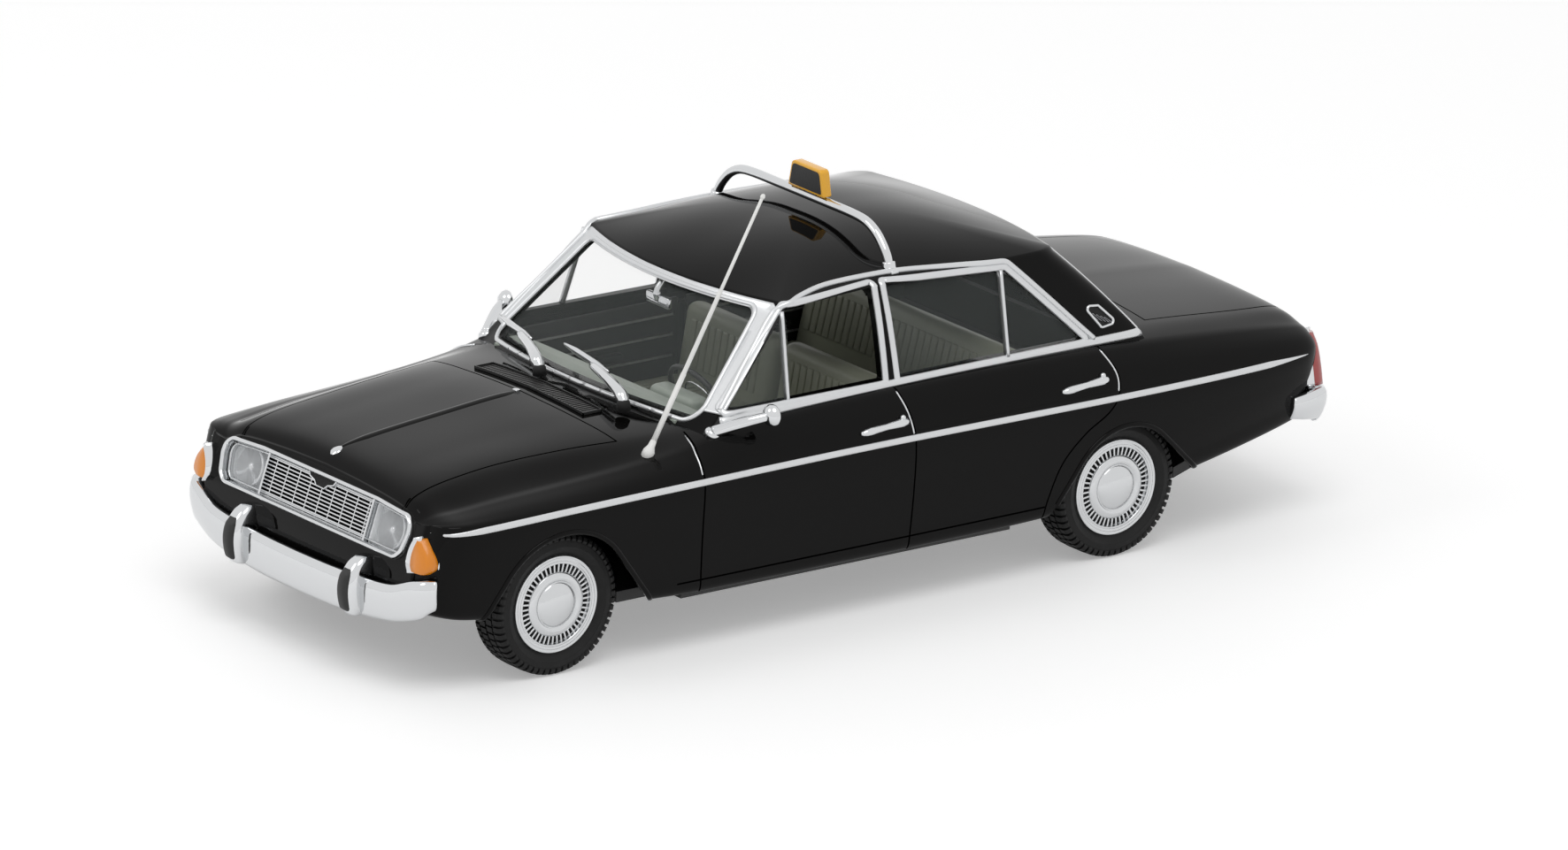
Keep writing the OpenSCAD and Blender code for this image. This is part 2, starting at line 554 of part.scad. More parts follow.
module door_handles() color("silver") on_car() both_sides() {
    handle_posts(0);
    for (x = handle_x) translate([mx(x) - 2.8, my(19.55) + 0.35, 17.2]) cube([5.6, 0.35, 0.6]);
}
// Air vent on the rear pillar
module vent_block(g) in_side_plane(-0.2 - g, 0.45 + 2 * g)
    hull() for (p = [[-28.75, 23.5], [-30.0, 23.3], [-31.7, 21.95], [-30.4, 21.85]])
        translate([mx(p[0]), mz(p[1])]) circle(r = 0.35 + g, $fn = 24);
module pillar_vents() color("silver") on_car() both_sides() vent_block(0);
module at_aerial() translate([mx(20.2), my(16.3), mz(18.0)]) rotate([0, -28, 0]) children();
aerial_foot_r = 0.6;
module aerial_socket(g) at_aerial() translate([0, 0, -g]) cylinder(r = aerial_foot_r + g, h = 1.6);
module aerial() color("silver") on_car() {
    aerial_socket(0);
    at_aerial() cylinder(r1 = 0.36, r2 = 0.26, h = aerial_l);
}
bar_x = -8.8;
bar_feet_y = 12.9;
bar_foot_z = 29.6;
bar_foot_r = bar_d * 0.9;
function bar_foot() = [mx(bar_x), my(bar_feet_y), mz(bar_foot_z)];
module roof_bar() color("silver") on_car() {
    bend = smooth([[mx(bar_x), 0, bar_h], [mx(bar_x), my(9.2), bar_h], [mx(bar_x), my(11.0), bar_h - 0.45],
        [mx(bar_x), my(11.9), bar_h - 1.5], bar_foot() + [0, 0, 1.1]], 3);
    half = concat(bend, [for (z = [0.85, 0.8, -0.1]) bar_foot() + [0, 0, z]]);
    thick = concat([for (p = bend) bar_d / 2], [bar_d / 2, bar_foot_r, bar_foot_r]);
    last = len(half) - 1;
    rod(concat([for (i = [last:-1:1]) [half[i][0], -half[i][1], half[i][2]]], half),
        concat([for (i = [last:-1:1]) thick[i]], thick), [1, 0, 0]);
}
sign_y = 0.9;
sign_depth = 1.0;
module taxi_sign() color([0.95, 0.7, 0.08]) on_car()
    translate([mx(bar_x), my(sign_y), bar_h + bar_d / 2 + fit_gap]) rotate([90, 0, 90])
        translate([0, 0, -sign_depth / 2]) linear_extrude(sign_depth)
            polygon([[-sign_w / 2, 0], [sign_w / 2, 0], [sign_w / 2 * 0.8, sign_h * 0.88],
                [sign_w / 2 * 0.66, sign_h], [-sign_w / 2 * 0.66, sign_h], [-sign_w / 2 * 0.8, sign_h * 0.88]]);

// ---------------------------------------------------------------- base and running gear

bearing_y = 10.8;
base_half = 18.58;
screw_x = [17, -15];
module base_profile() polygon(concat(
    [for (p = [[43, 8.2], [38, 5.6], [36, base_z], [-37, base_z], [-51, 9.2]]) [mx(p[0]), p[1]]],
    [for (p = [[-51, 9.2], [-37, base_z], [36, base_z], [38, 5.6], [43, 8.2]]) [mx(p[0]), p[1] + base_t]]
));
module base_plate() color([0.03, 0.03, 0.03]) on_car() difference() {
    union() {
        intersection() {
            translate([0, my(base_half), 0]) rotate([90, 0, 0]) linear_extrude(2 * my(base_half)) base_profile();
            linear_extrude(12) union() {
                translate([mx(-51), -my(16.4)]) square([mx(43) - mx(-51), 2 * my(16.4)]);
                translate([mx(-19), -my(base_half)]) square([mx(18) - mx(-19), 2 * my(base_half)]);
            }
        }
        for (x = [mx(drawn_axle), mx(-drawn_axle)]) both_sides()
            translate([x - 1.9, my(bearing_y) - 1.2, base_z]) cube([3.8, 2.4, axle_z - base_z + 2]);
        for (x = screw_x) translate([mx(x), 0, base_z - 0.2])
            cylinder(r = screw_d / 2 + 1.1, h = tub_floor - fit_gap - base_z + 0.2);
    }
    // wheel cut-outs, and room for the axle pins between their bearings
    for (x = [mx(drawn_axle), mx(-drawn_axle)]) {
        both_sides() translate([x - well_r - 0.4, tyre_y - tyre_w / 2 - 0.8, 0]) cube([2 * well_r + 0.8, 10, 20]);
        difference() {
            translate([x - axle_d, -my(16), base_z + 0.1]) cube([2 * axle_d, 2 * my(16), 5]);
            both_sides() translate([x - 5, my(bearing_y) - 1.2, 0]) cube([10, 2.4, 12]);
        }
        translate([x, my(16), axle_z]) rotate([90, 0, 0]) cylinder(r = axle_d / 2 + axle_play, h = 2 * my(16));
    }
    for (x = screw_x) translate([mx(x), 0, base_z - 0.2 - eps]) cylinder(r = screw_d / 2, h = screw_depth + eps);
}
module exhaust() color([0.3, 0.3, 0.3]) on_car() {
    z = base_z - 0.75;
    rod([[mx(20), my(5.5), z], [mx(-8), my(5.5), z], [mx(-24), my(6.5), z]], 0.55);
    translate([mx(-8), my(5.5), z - 0.2]) rotate([0, 90, 0]) cylinder(r = 0.9, h = 12, center = true);
}
module axle_pin() rotate([90, 0, 0]) cylinder(r = axle_d / 2, h = 2 * tyre_y + 0.4, center = true);
module axle(x) color("gray") on_car() translate([mx(x), 0, axle_z]) axle_pin();
module wheel_place(x, side) on_car() mirror([0, side, 0])
    translate([mx(x), tyre_y, axle_z]) rotate([-90, 0, 0]) children();
module tyre() color([0.03, 0.03, 0.03]) {
    r = tyre_d / 2;
    h = tyre_w / 2;
    rotate_extrude($fn = 96) polygon([
        [rim_d / 2, -h + 0.3], [r - 1.2, -h], [r - 0.35, -h + 0.25], [r, -h + 0.7],
        [r, h - 0.7], [r - 0.35, h - 0.25], [r - 1.2, h], [rim_d / 2, h - 0.3]
    ]);
}
module disc() color([0.85, 0.85, 0.86]) {
    r = rim_d / 2 - 0.02;
    h = tyre_w / 2;
    difference() {
        rotate_extrude($fn = 96) polygon([
            [0, -0.9], [r * 0.75, -0.9], [r * 0.82, -h + 0.5], [r, -h + 0.5], [r, h - 0.15],
            [r - 0.25, h], [r * 0.84, h - 0.05], [r * 0.62, h - 0.25], [r * 0.44, h - 0.1],
            [r * 0.36, h + 0.25], [r * 0.2, h + 0.48], [0, h + 0.55]
        ]);
        translate([0, 0, -1]) cylinder(r = axle_d / 2 + 0.02, h = 1.3);
    }
}

body_shell();
base_plate();
exhaust();
cabin_tub();
front_seats();
rear_bench();
dashboard();
steering_wheel();
windscreen();
rear_window();
quarter_lights();
rear_side_glass();
cabin_mirror();
grille();
lamp_surround();
headlamp(0);  // headlamp_left
headlamp(1);  // headlamp_right
indicator(0);  // indicator_left
indicator(1);  // indicator_right
front_bumper();
overrider_pads();
rear_bumper();
tail_lamp(0);  // tail_lamp_left
tail_lamp(1);  // tail_lamp_right
number_plate();
cowl_grille();
bonnet_emblem();
wiper(wiper_y[0]);  // wiper_left
wiper(wiper_y[1]);  // wiper_right
door_mirror(0);  // door_mirror_left
door_mirror(1);  // door_mirror_right
door_handles();
pillar_vents();
aerial();
roof_bar();
taxi_sign();
axle(drawn_axle);  // front_axle
wheel_place(drawn_axle, 0) tyre();  // front_tyre_left
wheel_place(drawn_axle, 1) tyre();  // front_tyre_right
wheel_place(drawn_axle, 0) disc();  // front_disc_left
wheel_place(drawn_axle, 1) disc();  // front_disc_right
axle(-drawn_axle);  // rear_axle
wheel_place(-drawn_axle, 0) tyre();  // rear_tyre_left
wheel_place(-drawn_axle, 1) tyre();  // rear_tyre_right
wheel_place(-drawn_axle, 0) disc();  // rear_disc_left
wheel_place(-drawn_axle, 1) disc();  // rear_disc_right
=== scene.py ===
# %% [markdown]
# # Scale model taxi
#
# A gloss black die-cast saloon with chrome trim, a roof bar and a blank roof sign. The packed
# CAD part is the frame: it fixes every size, place and joint. This script dresses it.
# Everything below is drawn in millimetres, with x counted from halfway between the axles,
# and `place` turns that into the frame's metres.

import json
import math

import bpy
import numpy as np
from mathutils import Matrix, Vector
from mathutils.bvhtree import BVHTree

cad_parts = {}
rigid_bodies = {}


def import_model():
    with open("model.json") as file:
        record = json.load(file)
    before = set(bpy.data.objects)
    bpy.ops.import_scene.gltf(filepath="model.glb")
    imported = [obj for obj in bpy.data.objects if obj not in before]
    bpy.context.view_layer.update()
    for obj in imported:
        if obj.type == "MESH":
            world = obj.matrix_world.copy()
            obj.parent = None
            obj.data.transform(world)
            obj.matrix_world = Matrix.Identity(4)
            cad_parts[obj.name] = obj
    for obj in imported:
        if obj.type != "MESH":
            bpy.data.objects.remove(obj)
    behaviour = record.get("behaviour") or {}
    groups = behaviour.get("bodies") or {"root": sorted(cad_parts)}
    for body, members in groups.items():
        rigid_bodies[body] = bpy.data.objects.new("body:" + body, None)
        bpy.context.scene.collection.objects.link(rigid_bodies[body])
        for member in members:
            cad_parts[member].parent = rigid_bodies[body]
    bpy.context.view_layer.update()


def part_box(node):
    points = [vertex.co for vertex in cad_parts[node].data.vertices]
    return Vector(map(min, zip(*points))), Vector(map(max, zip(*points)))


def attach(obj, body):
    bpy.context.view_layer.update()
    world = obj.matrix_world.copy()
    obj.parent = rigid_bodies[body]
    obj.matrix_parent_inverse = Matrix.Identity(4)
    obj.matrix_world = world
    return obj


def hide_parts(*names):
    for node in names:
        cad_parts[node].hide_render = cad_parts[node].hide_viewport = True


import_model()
MM = 0.001


def middle(node):
    """The middle of a CAD node."""
    low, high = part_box(node)
    return (Vector(low) + Vector(high)) / 2


front_hub = middle("front_axle")
rear_hub = middle("rear_axle")
WHEELBASE = (front_hub.x - rear_hub.x) / MM
SHIFT = (front_hub.x + rear_hub.x) / 2 / MM
HUB_Z = front_hub.z / MM
FRONT_HUB = WHEELBASE / 2
REAR_HUB = -WHEELBASE / 2
print(f"wheelbase {WHEELBASE:.2f} mm, drawing shifted {SHIFT:.2f} mm, hubs at {HUB_Z:.2f} mm")


def place(points):
    """Drawing millimetres to frame metres, for one point or an array of them."""
    return (np.asarray(points, float) + [SHIFT, 0, 0]) * MM


# %% [markdown]
# ## Curves and meshes
#
# Most of the car is made three ways: lofts through rings of points, sweeps of a small profile
# along a line that lies on the body, and booleans that cut the openings. All of them start
# from a few points that are turned into a smooth line, which is easier to correct than a mesh.

# %% Curves
def smooth(points, per):
    """A smooth curve through the points, with per steps from each to the next."""
    p = np.asarray(points, float)
    gap = np.linalg.norm(np.diff(p, axis=0), axis=1)[:, None]
    t = np.empty_like(p)
    t[0] = (p[1] - p[0]) / gap[0]
    t[-1] = (p[-1] - p[-2]) / gap[-1]
    t[1:-1] = (p[2:] - p[:-2]) / (gap[1:] + gap[:-1])
    u = (np.arange(per) / per)[None, :, None]
    a, b, d = p[:-1, None], p[1:, None], gap[:, None]
    ta, tb = t[:-1, None] * d, t[1:, None] * d
    curve = (2 * u**3 - 3 * u**2 + 1) * a + (u**3 - 2 * u**2 + u) * ta
    curve = curve + (3 * u**2 - 2 * u**3) * b + (u**3 - u**2) * tb
    return np.vstack([curve.reshape(-1, p.shape[1]), p[-1:]])


def rounded(corners, radii, steps=6):
    """A closed outline with its corners rounded to the given radii."""
    p = np.asarray(corners, float)
    radii = np.broadcast_to(radii, len(p))
    out = []
    for i, r in enumerate(radii):
        a = p[i - 1] - p[i]
        b = p[(i + 1) % len(p)] - p[i]
        a = a / np.linalg.norm(a)
        b = b / np.linalg.norm(b)
        half = math.acos(np.clip(a @ b, -1, 1)) / 2
        reach = r / math.tan(half)
        centre = p[i] + (a + b) / np.linalg.norm(a + b) * r / math.sin(half)
        start = p[i] + a * reach - centre
        end = p[i] + b * reach - centre
        sweep = math.acos(np.clip(start @ end / r**2, -1, 1))
        turn = np.sign(start[0] * end[1] - start[1] * end[0])
        for k in range(steps + 1):
            w = turn * sweep * k / steps
            c, s = math.cos(w), math.sin(w)
            out.append(centre + [c * start[0] - s * start[1], s * start[0] + c * start[1]])
    return np.array(out)


def resample(points, step):
    """The same line with points no further apart than step."""
    out = [points[0]]
    for a, b in zip(points[:-1], points[1:]):
        n = max(1, math.ceil(np.linalg.norm(b - a) / step))
        out += [a + (b - a) * k / n for k in range(1, n + 1)]
    return np.array(out)


def circle(radius, count):
    """Points evenly spaced round a circle."""
    w = 2 * math.pi * np.arange(count) / count
    return np.stack([radius * np.cos(w), radius * np.sin(w)], axis=1)


# %% [markdown]
# ## From points to meshes
#
# A mesh needs only points and faces. The helpers here skin a stack of rings, build a box, and
# turn a shape that came out inside out the right way round, by the sign of its volume.

# %% Meshes
def add(name, points, faces, material=None, soft=True):
    """A mesh object from drawing points and faces."""
    mesh = bpy.data.meshes.new(name)
    mesh.from_pydata([tuple(v) for v in place(points)], [], [tuple(int(i) for i in f) for f in faces])
    mesh.validate()
    mesh.update()
    mesh.shade_smooth() if soft else mesh.shade_flat()
    if material:
        mesh.materials.append(material)
    made = bpy.data.objects.new(name, mesh)
    bpy.context.scene.collection.objects.link(made)
    return made


def loft(name, rings, material=None, looped=False, soft=True):
    """A skin through rings of equally many points, closed at both ends unless it loops."""
    rings = np.asarray(rings, float)
    m, n = rings.shape[:2]
    faces = []
    for i in range(m if looped else m - 1):
        k = (i + 1) % m
        for j in range(n):
            q = (j + 1) % n
            faces.append((i * n + j, i * n + q, k * n + q, k * n + j))
    if not looped:
        faces.append(tuple(range(n))[::-1])
        faces.append(tuple(range((m - 1) * n, m * n)))
    return outward(add(name, rings.reshape(-1, 3), faces, material, soft))


def outward(obj):
    """Turns a closed mesh's faces so that they look out."""
    if volume(obj) < 0:
        obj.data.flip_normals()
    return obj


def volume(obj):
    """The signed volume of a closed mesh, in cubic metres."""
    mesh = obj.data
    mesh.calc_loop_triangles()
    co = np.zeros(len(mesh.vertices) * 3)
    mesh.vertices.foreach_get("co", co)
    co = co.reshape(-1, 3)
    tri = np.zeros(len(mesh.loop_triangles) * 3, np.int32)
    mesh.loop_triangles.foreach_get("vertices", tri)
    a, b, c = (co[tri.reshape(-1, 3)[:, k]] for k in range(3))
    return float(np.einsum("ij,ij->i", a, np.cross(b, c)).sum() / 6)


def block(name, low, high, material=None, bevel=0.0):
    """A box between two corners, with its edges rounded if asked."""
    x, y, z = zip(low, high)
    corners = [(x[i], y[j], z[k]) for i in (0, 1) for j in (0, 1) for k in (0, 1)]
    faces = [(0, 1, 3, 2), (4, 6, 7, 5), (0, 4, 5, 1), (2, 3, 7, 6), (0, 2, 6, 4), (1, 5, 7, 3)]
    made = outward(add(name, corners, faces, material, soft=False))
    return bevelled(made, bevel) if bevel else made


# %% [markdown]
# ## Edges and cuts
#
# Real edges are never sharp: even a casting's catch a line of light. A Bevel modifier rounds
# them and a Boolean cuts or joins shapes. Both are turned into plain mesh at once.

# %% Edges and cuts
def bevelled(obj, width, segments=3, angle=40):
    """Rounds the sharp edges, width in millimetres, and shades the result smooth by angle."""
    mod = obj.modifiers.new("bevel", "BEVEL")
    mod.width = width * MM
    mod.segments = segments
    mod.limit_method = "ANGLE"
    mod.angle_limit = math.radians(angle)
    mod.harden_normals = False
    freeze(obj)
    return auto_smooth(obj, 35)


def auto_smooth(obj, angle):
    """Smooth shading with a crease at each edge sharper than angle."""
    mesh = obj.data
    mesh.shade_smooth()
    mesh.set_sharp_from_angle(angle=math.radians(angle))
    return obj


def freeze(obj):
    """Turns the object's modifiers into its plain mesh."""
    graph = bpy.context.evaluated_depsgraph_get()
    made = bpy.data.meshes.new_from_object(obj.evaluated_get(graph))
    old = obj.data
    obj.modifiers.clear()
    obj.data = made
    bpy.data.meshes.remove(old)
    made.name = obj.name
    return obj


def boolean(obj, tool, kind="DIFFERENCE", keep=False, solver="MANIFOLD"):
    """Cuts obj with tool, joins them or keeps what they share."""
    before = obj.data.copy()
    mod = obj.modifiers.new("boolean", "BOOLEAN")
    mod.operation = kind
    mod.solver = solver
    mod.object = tool
    freeze(obj)
    if not len(obj.data.polygons) and solver == "MANIFOLD":
        obj.data = before
        return boolean(obj, tool, kind, keep, "EXACT")
    bpy.data.meshes.remove(before)
    if not keep:
        discard(tool)
    return obj


def discard(obj):
    """Removes a helper object and its mesh."""
    mesh = obj.data
    bpy.data.objects.remove(obj)
    if mesh.users == 0:
        bpy.data.meshes.remove(mesh)


# %% [markdown]
# ## Joining and mirroring
#
# A piece such as a bumper is drawn in parts with their own finishes and then joined. The car
# is the same on both sides, so only the left is drawn. A mirrored mesh is inside out until its
# normals are flipped.

# %% Joining and mirroring
def joined(name, parts):
    """One object that holds the meshes of several, each with its own materials."""
    points, faces, mats, picks, flags = [], [], [], [], []
    offset = 0
    for part in parts:
        mesh = part.data
        slots = [mats.index(m) if m in mats else mats.append(m) or len(mats) - 1 for m in mesh.materials]
        co = np.zeros(len(mesh.vertices) * 3)
        mesh.vertices.foreach_get("co", co)
        points.append(co.reshape(-1, 3))
        for face in mesh.polygons:
            faces.append(tuple(offset + v for v in face.vertices))
            picks.append(slots[face.material_index] if slots else 0)
            flags.append(face.use_smooth)
        offset += len(mesh.vertices)
    mesh = bpy.data.meshes.new(name)
    mesh.from_pydata([tuple(v) for v in np.vstack(points)], [], faces)
    for m in mats:
        mesh.materials.append(m)
    mesh.polygons.foreach_set("material_index", picks)
    mesh.polygons.foreach_set("use_smooth", flags)
    mesh.update()
    made = bpy.data.objects.new(name, mesh)
    bpy.context.scene.collection.objects.link(made)
    for part in parts:
        discard(part)
    return made


def mirrored(obj, name):
    """A copy on the car's other side."""
    mesh = obj.data.copy()
    mesh.transform(Matrix.Scale(-1, 4, (0, 1, 0)))
    mesh.flip_normals()
    mesh.name = name
    made = bpy.data.objects.new(name, mesh)
    bpy.context.scene.collection.objects.link(made)
    return made


def with_twins(parts):
    """The parts and their mirror images on the car's other side."""
    return parts + [mirrored(part, part.name + " right") for part in parts]


# %% [markdown]
# ## Sweeps
#
# A sweep carries a profile along a line. The profile's first axis lies in the surface, across
# the line, and its second stands off the surface. `half_round` is a low bar with a rounded top.
# A curve object with a bevel could do the same, but its profile would not stay square to the
# bodywork where the line climbs round a corner.

# %% Sweeps
def half_round(width, height, sink=0.12, steps=8):
    """Profile of a low rounded bar that is sunk a little into its surface."""
    w = math.pi * np.arange(steps + 1) / steps
    top = np.stack([np.cos(w) * width / 2, np.sin(w) * height], axis=1)
    return np.vstack([top, [[-width / 2, -sink], [width / 2, -sink]]])


def flat_bar(width, height, sink):
    """Profile of a flat bar with its two top edges eased."""
    w, h, edge = width / 2, height, 0.06
    return np.array([
        [w, -sink], [w, h - edge], [w - edge, h], [-w + edge, h], [-w, h - edge], [-w, -sink],
    ])


def sweep(name, points, normals, profile, material=None, closed=False, scale=None):
    """A profile carried along a line of points, standing on the given normals."""
    p = np.asarray(points, float)
    n = np.asarray(normals, float)
    if closed:
        t = np.roll(p, -1, 0) - np.roll(p, 1, 0)
    else:
        t = np.gradient(p, axis=0)
    t = t / np.linalg.norm(t, axis=1)[:, None]
    n = n - (n * t).sum(1)[:, None] * t
    n = n / np.linalg.norm(n, axis=1)[:, None]
    b = np.cross(t, n)
    profile = np.asarray(profile, float)
    size = np.ones(len(p)) if scale is None else np.asarray(scale, float)
    # a mitred corner keeps its width where the line turns
    ahead = np.roll(p, -1, 0) - p
    behind = p - np.roll(p, 1, 0)
    turn = np.ones(len(p))
    inner = range(len(p)) if closed else range(1, len(p) - 1)
    for i in inner:
        c = ahead[i] @ behind[i] / (np.linalg.norm(ahead[i]) * np.linalg.norm(behind[i]) + 1e-12)
        turn[i] = 1 / max(0.6, math.sqrt(max(0.0, (1 + c) / 2)))
    rings = (
        p[:, None]
        + b[:, None] * (profile[None, :, :1] * (size * turn)[:, None, None])
        + n[:, None] * (profile[None, :, 1:] * size[:, None, None])
    )
    made = loft(name, rings, material, looped=closed)
    return auto_smooth(made, 40)


# %% [markdown]
# ## Rods, turned parts and plates
#
# Wiper arms, the aerial and the steering wheel are rods. Hub caps, lamps and buttons are
# turned, as on a lathe, so they are a profile spun about an axis. Plates are flat outlines
# with a thickness.

# %% Rods, turned parts and plates
def tube(name, points, radius, material=None, sides=16, closed=False):
    """A round rod along a line, its frame carried from point to point so that it never twists."""
    p = np.asarray(points, float)
    t = np.roll(p, -1, 0) - np.roll(p, 1, 0) if closed else np.gradient(p, axis=0)
    t = t / np.linalg.norm(t, axis=1)[:, None]
    side = np.cross(t[0], [0, 0, 1] if abs(t[0][2]) < 0.9 else [1, 0, 0])
    radii = np.broadcast_to(radius, len(p))
    rings = []
    for at, along, r in zip(p, t, radii):
        side = side - (side @ along) * along
        side = side / np.linalg.norm(side)
        up = np.cross(along, side)
        rings.append(at + r * (circle(1, sides) @ np.array([side, up])))
    return loft(name, rings, material, looped=closed)


def revolve(name, profile, centre, axis, material=None, count=96, angle=35):
    """A profile of (radius, distance along the axis) turned about an axis through centre."""
    axis = np.asarray(axis, float) / np.linalg.norm(axis)
    side = np.cross(axis, [0.3, 0.2, 1])
    side /= np.linalg.norm(side)
    up = np.cross(axis, side)
    turns = circle(1, count) @ np.array([side, up])
    profile = np.asarray(profile, float)
    centre = np.asarray(centre, float)
    points, rows, faces = [], [], []
    for r, h in profile:
        if r < 1e-6:
            rows.append([len(points)] * count)
            points.append(centre + axis * h)
        else:
            rows.append(list(range(len(points), len(points) + count)))
            points += list(centre + axis * h + turns * r)
    for a, b in zip(rows[:-1], rows[1:]):
        for j in range(count):
            q = (j + 1) % count
            ring = [a[j], a[q], b[q], b[j]]
            face = [v for i, v in enumerate(ring) if v != ring[i - 1]]
            if len(face) > 2:
                faces.append(face)
    if profile[0][0] >= 1e-6:
        faces.append(rows[0][::-1])
    if profile[-1][0] >= 1e-6:
        faces.append(rows[-1])
    return auto_smooth(outward(add(name, points, faces, material)), angle)


def prism(name, outline, axis, low, high, material=None):
    """A flat outline carried along x, y or z from low to high."""
    outline = np.asarray(outline, float)
    k = "xyz".index(axis)
    rest = [i for i in range(3) if i != k]
    rings = np.zeros((2, len(outline), 3))
    for ring, at in zip(rings, (low, high)):
        ring[:, rest] = outline
        ring[:, k] = at
    return loft(name, rings, material, soft=False)


def painted(obj, material):
    """The object in one finish all over."""
    mesh = obj.data
    mesh.materials.clear()
    mesh.materials.append(material)
    mesh.polygons.foreach_set("material_index", np.zeros(len(mesh.polygons), np.int32))
    return obj


# %% [markdown]
# ## Repeats
#
# Whatever repeats is placed by one small Geometry Nodes tree: it takes a single unit and
# stamps it `Count` times, moving by `Step` and turning by `Turn` each time. The tread blocks,
# the wheel's spokes, the grille's bars and the seats' pleats all come from it. The result is
# realised and frozen to a plain mesh.

# %% Repeats by Geometry Nodes
def repeat_tree():
    """The tree that stamps one unit along a step and round a turn."""
    tree = bpy.data.node_groups.new("Repeat", "GeometryNodeTree")
    face = tree.interface
    face.new_socket("Unit", in_out="INPUT", socket_type="NodeSocketGeometry")
    face.new_socket("Count", in_out="INPUT", socket_type="NodeSocketInt")
    face.new_socket("Step", in_out="INPUT", socket_type="NodeSocketVector")
    face.new_socket("Turn", in_out="INPUT", socket_type="NodeSocketVector")
    face.new_socket("Pivot", in_out="INPUT", socket_type="NodeSocketVector")
    face.new_socket("Material", in_out="INPUT", socket_type="NodeSocketMaterial")
    face.new_socket("Mesh", in_out="OUTPUT", socket_type="NodeSocketGeometry")
    new = tree.nodes.new
    link = tree.links.new
    given = new("NodeGroupInput")
    result = new("NodeGroupOutput")
    points = new("GeometryNodePoints")
    index = new("GeometryNodeInputIndex")
    link(given.outputs["Count"], points.inputs["Count"])

    def scaled(vector):
        node = new("ShaderNodeVectorMath")
        node.operation = "SCALE"
        link(vector, node.inputs[0])
        link(index.outputs[0], node.inputs["Scale"])
        return node.outputs[0]

    # the unit is drawn in place, so it is moved to the pivot and the points carry it back
    centred = new("GeometryNodeTransform")
    back = new("ShaderNodeVectorMath")
    back.operation = "SCALE"
    back.inputs["Scale"].default_value = -1
    link(given.outputs["Pivot"], back.inputs[0])
    link(back.outputs[0], centred.inputs["Translation"])
    link(given.outputs["Unit"], centred.inputs["Geometry"])
    at = new("ShaderNodeVectorMath")
    at.operation = "ADD"
    link(given.outputs["Pivot"], at.inputs[0])
    link(scaled(given.outputs["Step"]), at.inputs[1])
    link(at.outputs[0], points.inputs["Position"])
    stamp = new("GeometryNodeInstanceOnPoints")
    link(points.outputs[0], stamp.inputs["Points"])
    link(centred.outputs[0], stamp.inputs["Instance"])
    link(scaled(given.outputs["Turn"]), stamp.inputs["Rotation"])
    real = new("GeometryNodeRealizeInstances")
    link(stamp.outputs[0], real.inputs[0])
    paint = new("GeometryNodeSetMaterial")
    link(real.outputs[0], paint.inputs["Geometry"])
    link(given.outputs["Material"], paint.inputs["Material"])
    link(paint.outputs[0], result.inputs["Mesh"])
    return tree


REPEAT = repeat_tree()


def repeat(unit, count, material, step=(0, 0, 0), turn=(0, 0, 0), pivot=(0, 0, 0)):
    """Stamps unit count times: step in millimetres, turn in radians about the pivot."""
    mod = unit.modifiers.new("repeat", "NODES")
    mod.node_group = REPEAT
    values = {
        "Count": count,
        "Step": tuple(np.asarray(step, float) * MM),
        "Turn": tuple(float(a) for a in turn),
        "Pivot": tuple(place(pivot)),
        "Material": material,
    }
    for item in REPEAT.interface.items_tree:
        if item.in_out == "INPUT" and item.name in values:
            mod[item.identifier] = values[item.name]
    unit.update_tag()
    return freeze(unit)


# %% [markdown]
# ## Finishes
#
# A small wrapper lets shader sockets be added and multiplied like numbers. Every finish
# varies a little in the piece's own space, so nothing reads as flat plastic. Linking nodes by
# hand would do the same, but the sums would be hard to read.

# %% Shader arithmetic
class Value:
    """A node socket that takes part in sums."""

    def __init__(self, shader, socket):
        self.shader = shader
        self.socket = socket

    def math(self, kind, other):
        return self.shader.node("ShaderNodeMath", {0: self, 1: other}, operation=kind)

    def __add__(self, other):
        return self.math("ADD", other)

    def __mul__(self, other):
        return self.math("MULTIPLY", other)

    __radd__ = __add__
    __rmul__ = __mul__

    def at_least(self, other):
        return self.math("MAXIMUM", other)

    def between(self, low, high):
        """Stretches 0..1 to low..high."""
        return self * (high - low) + low


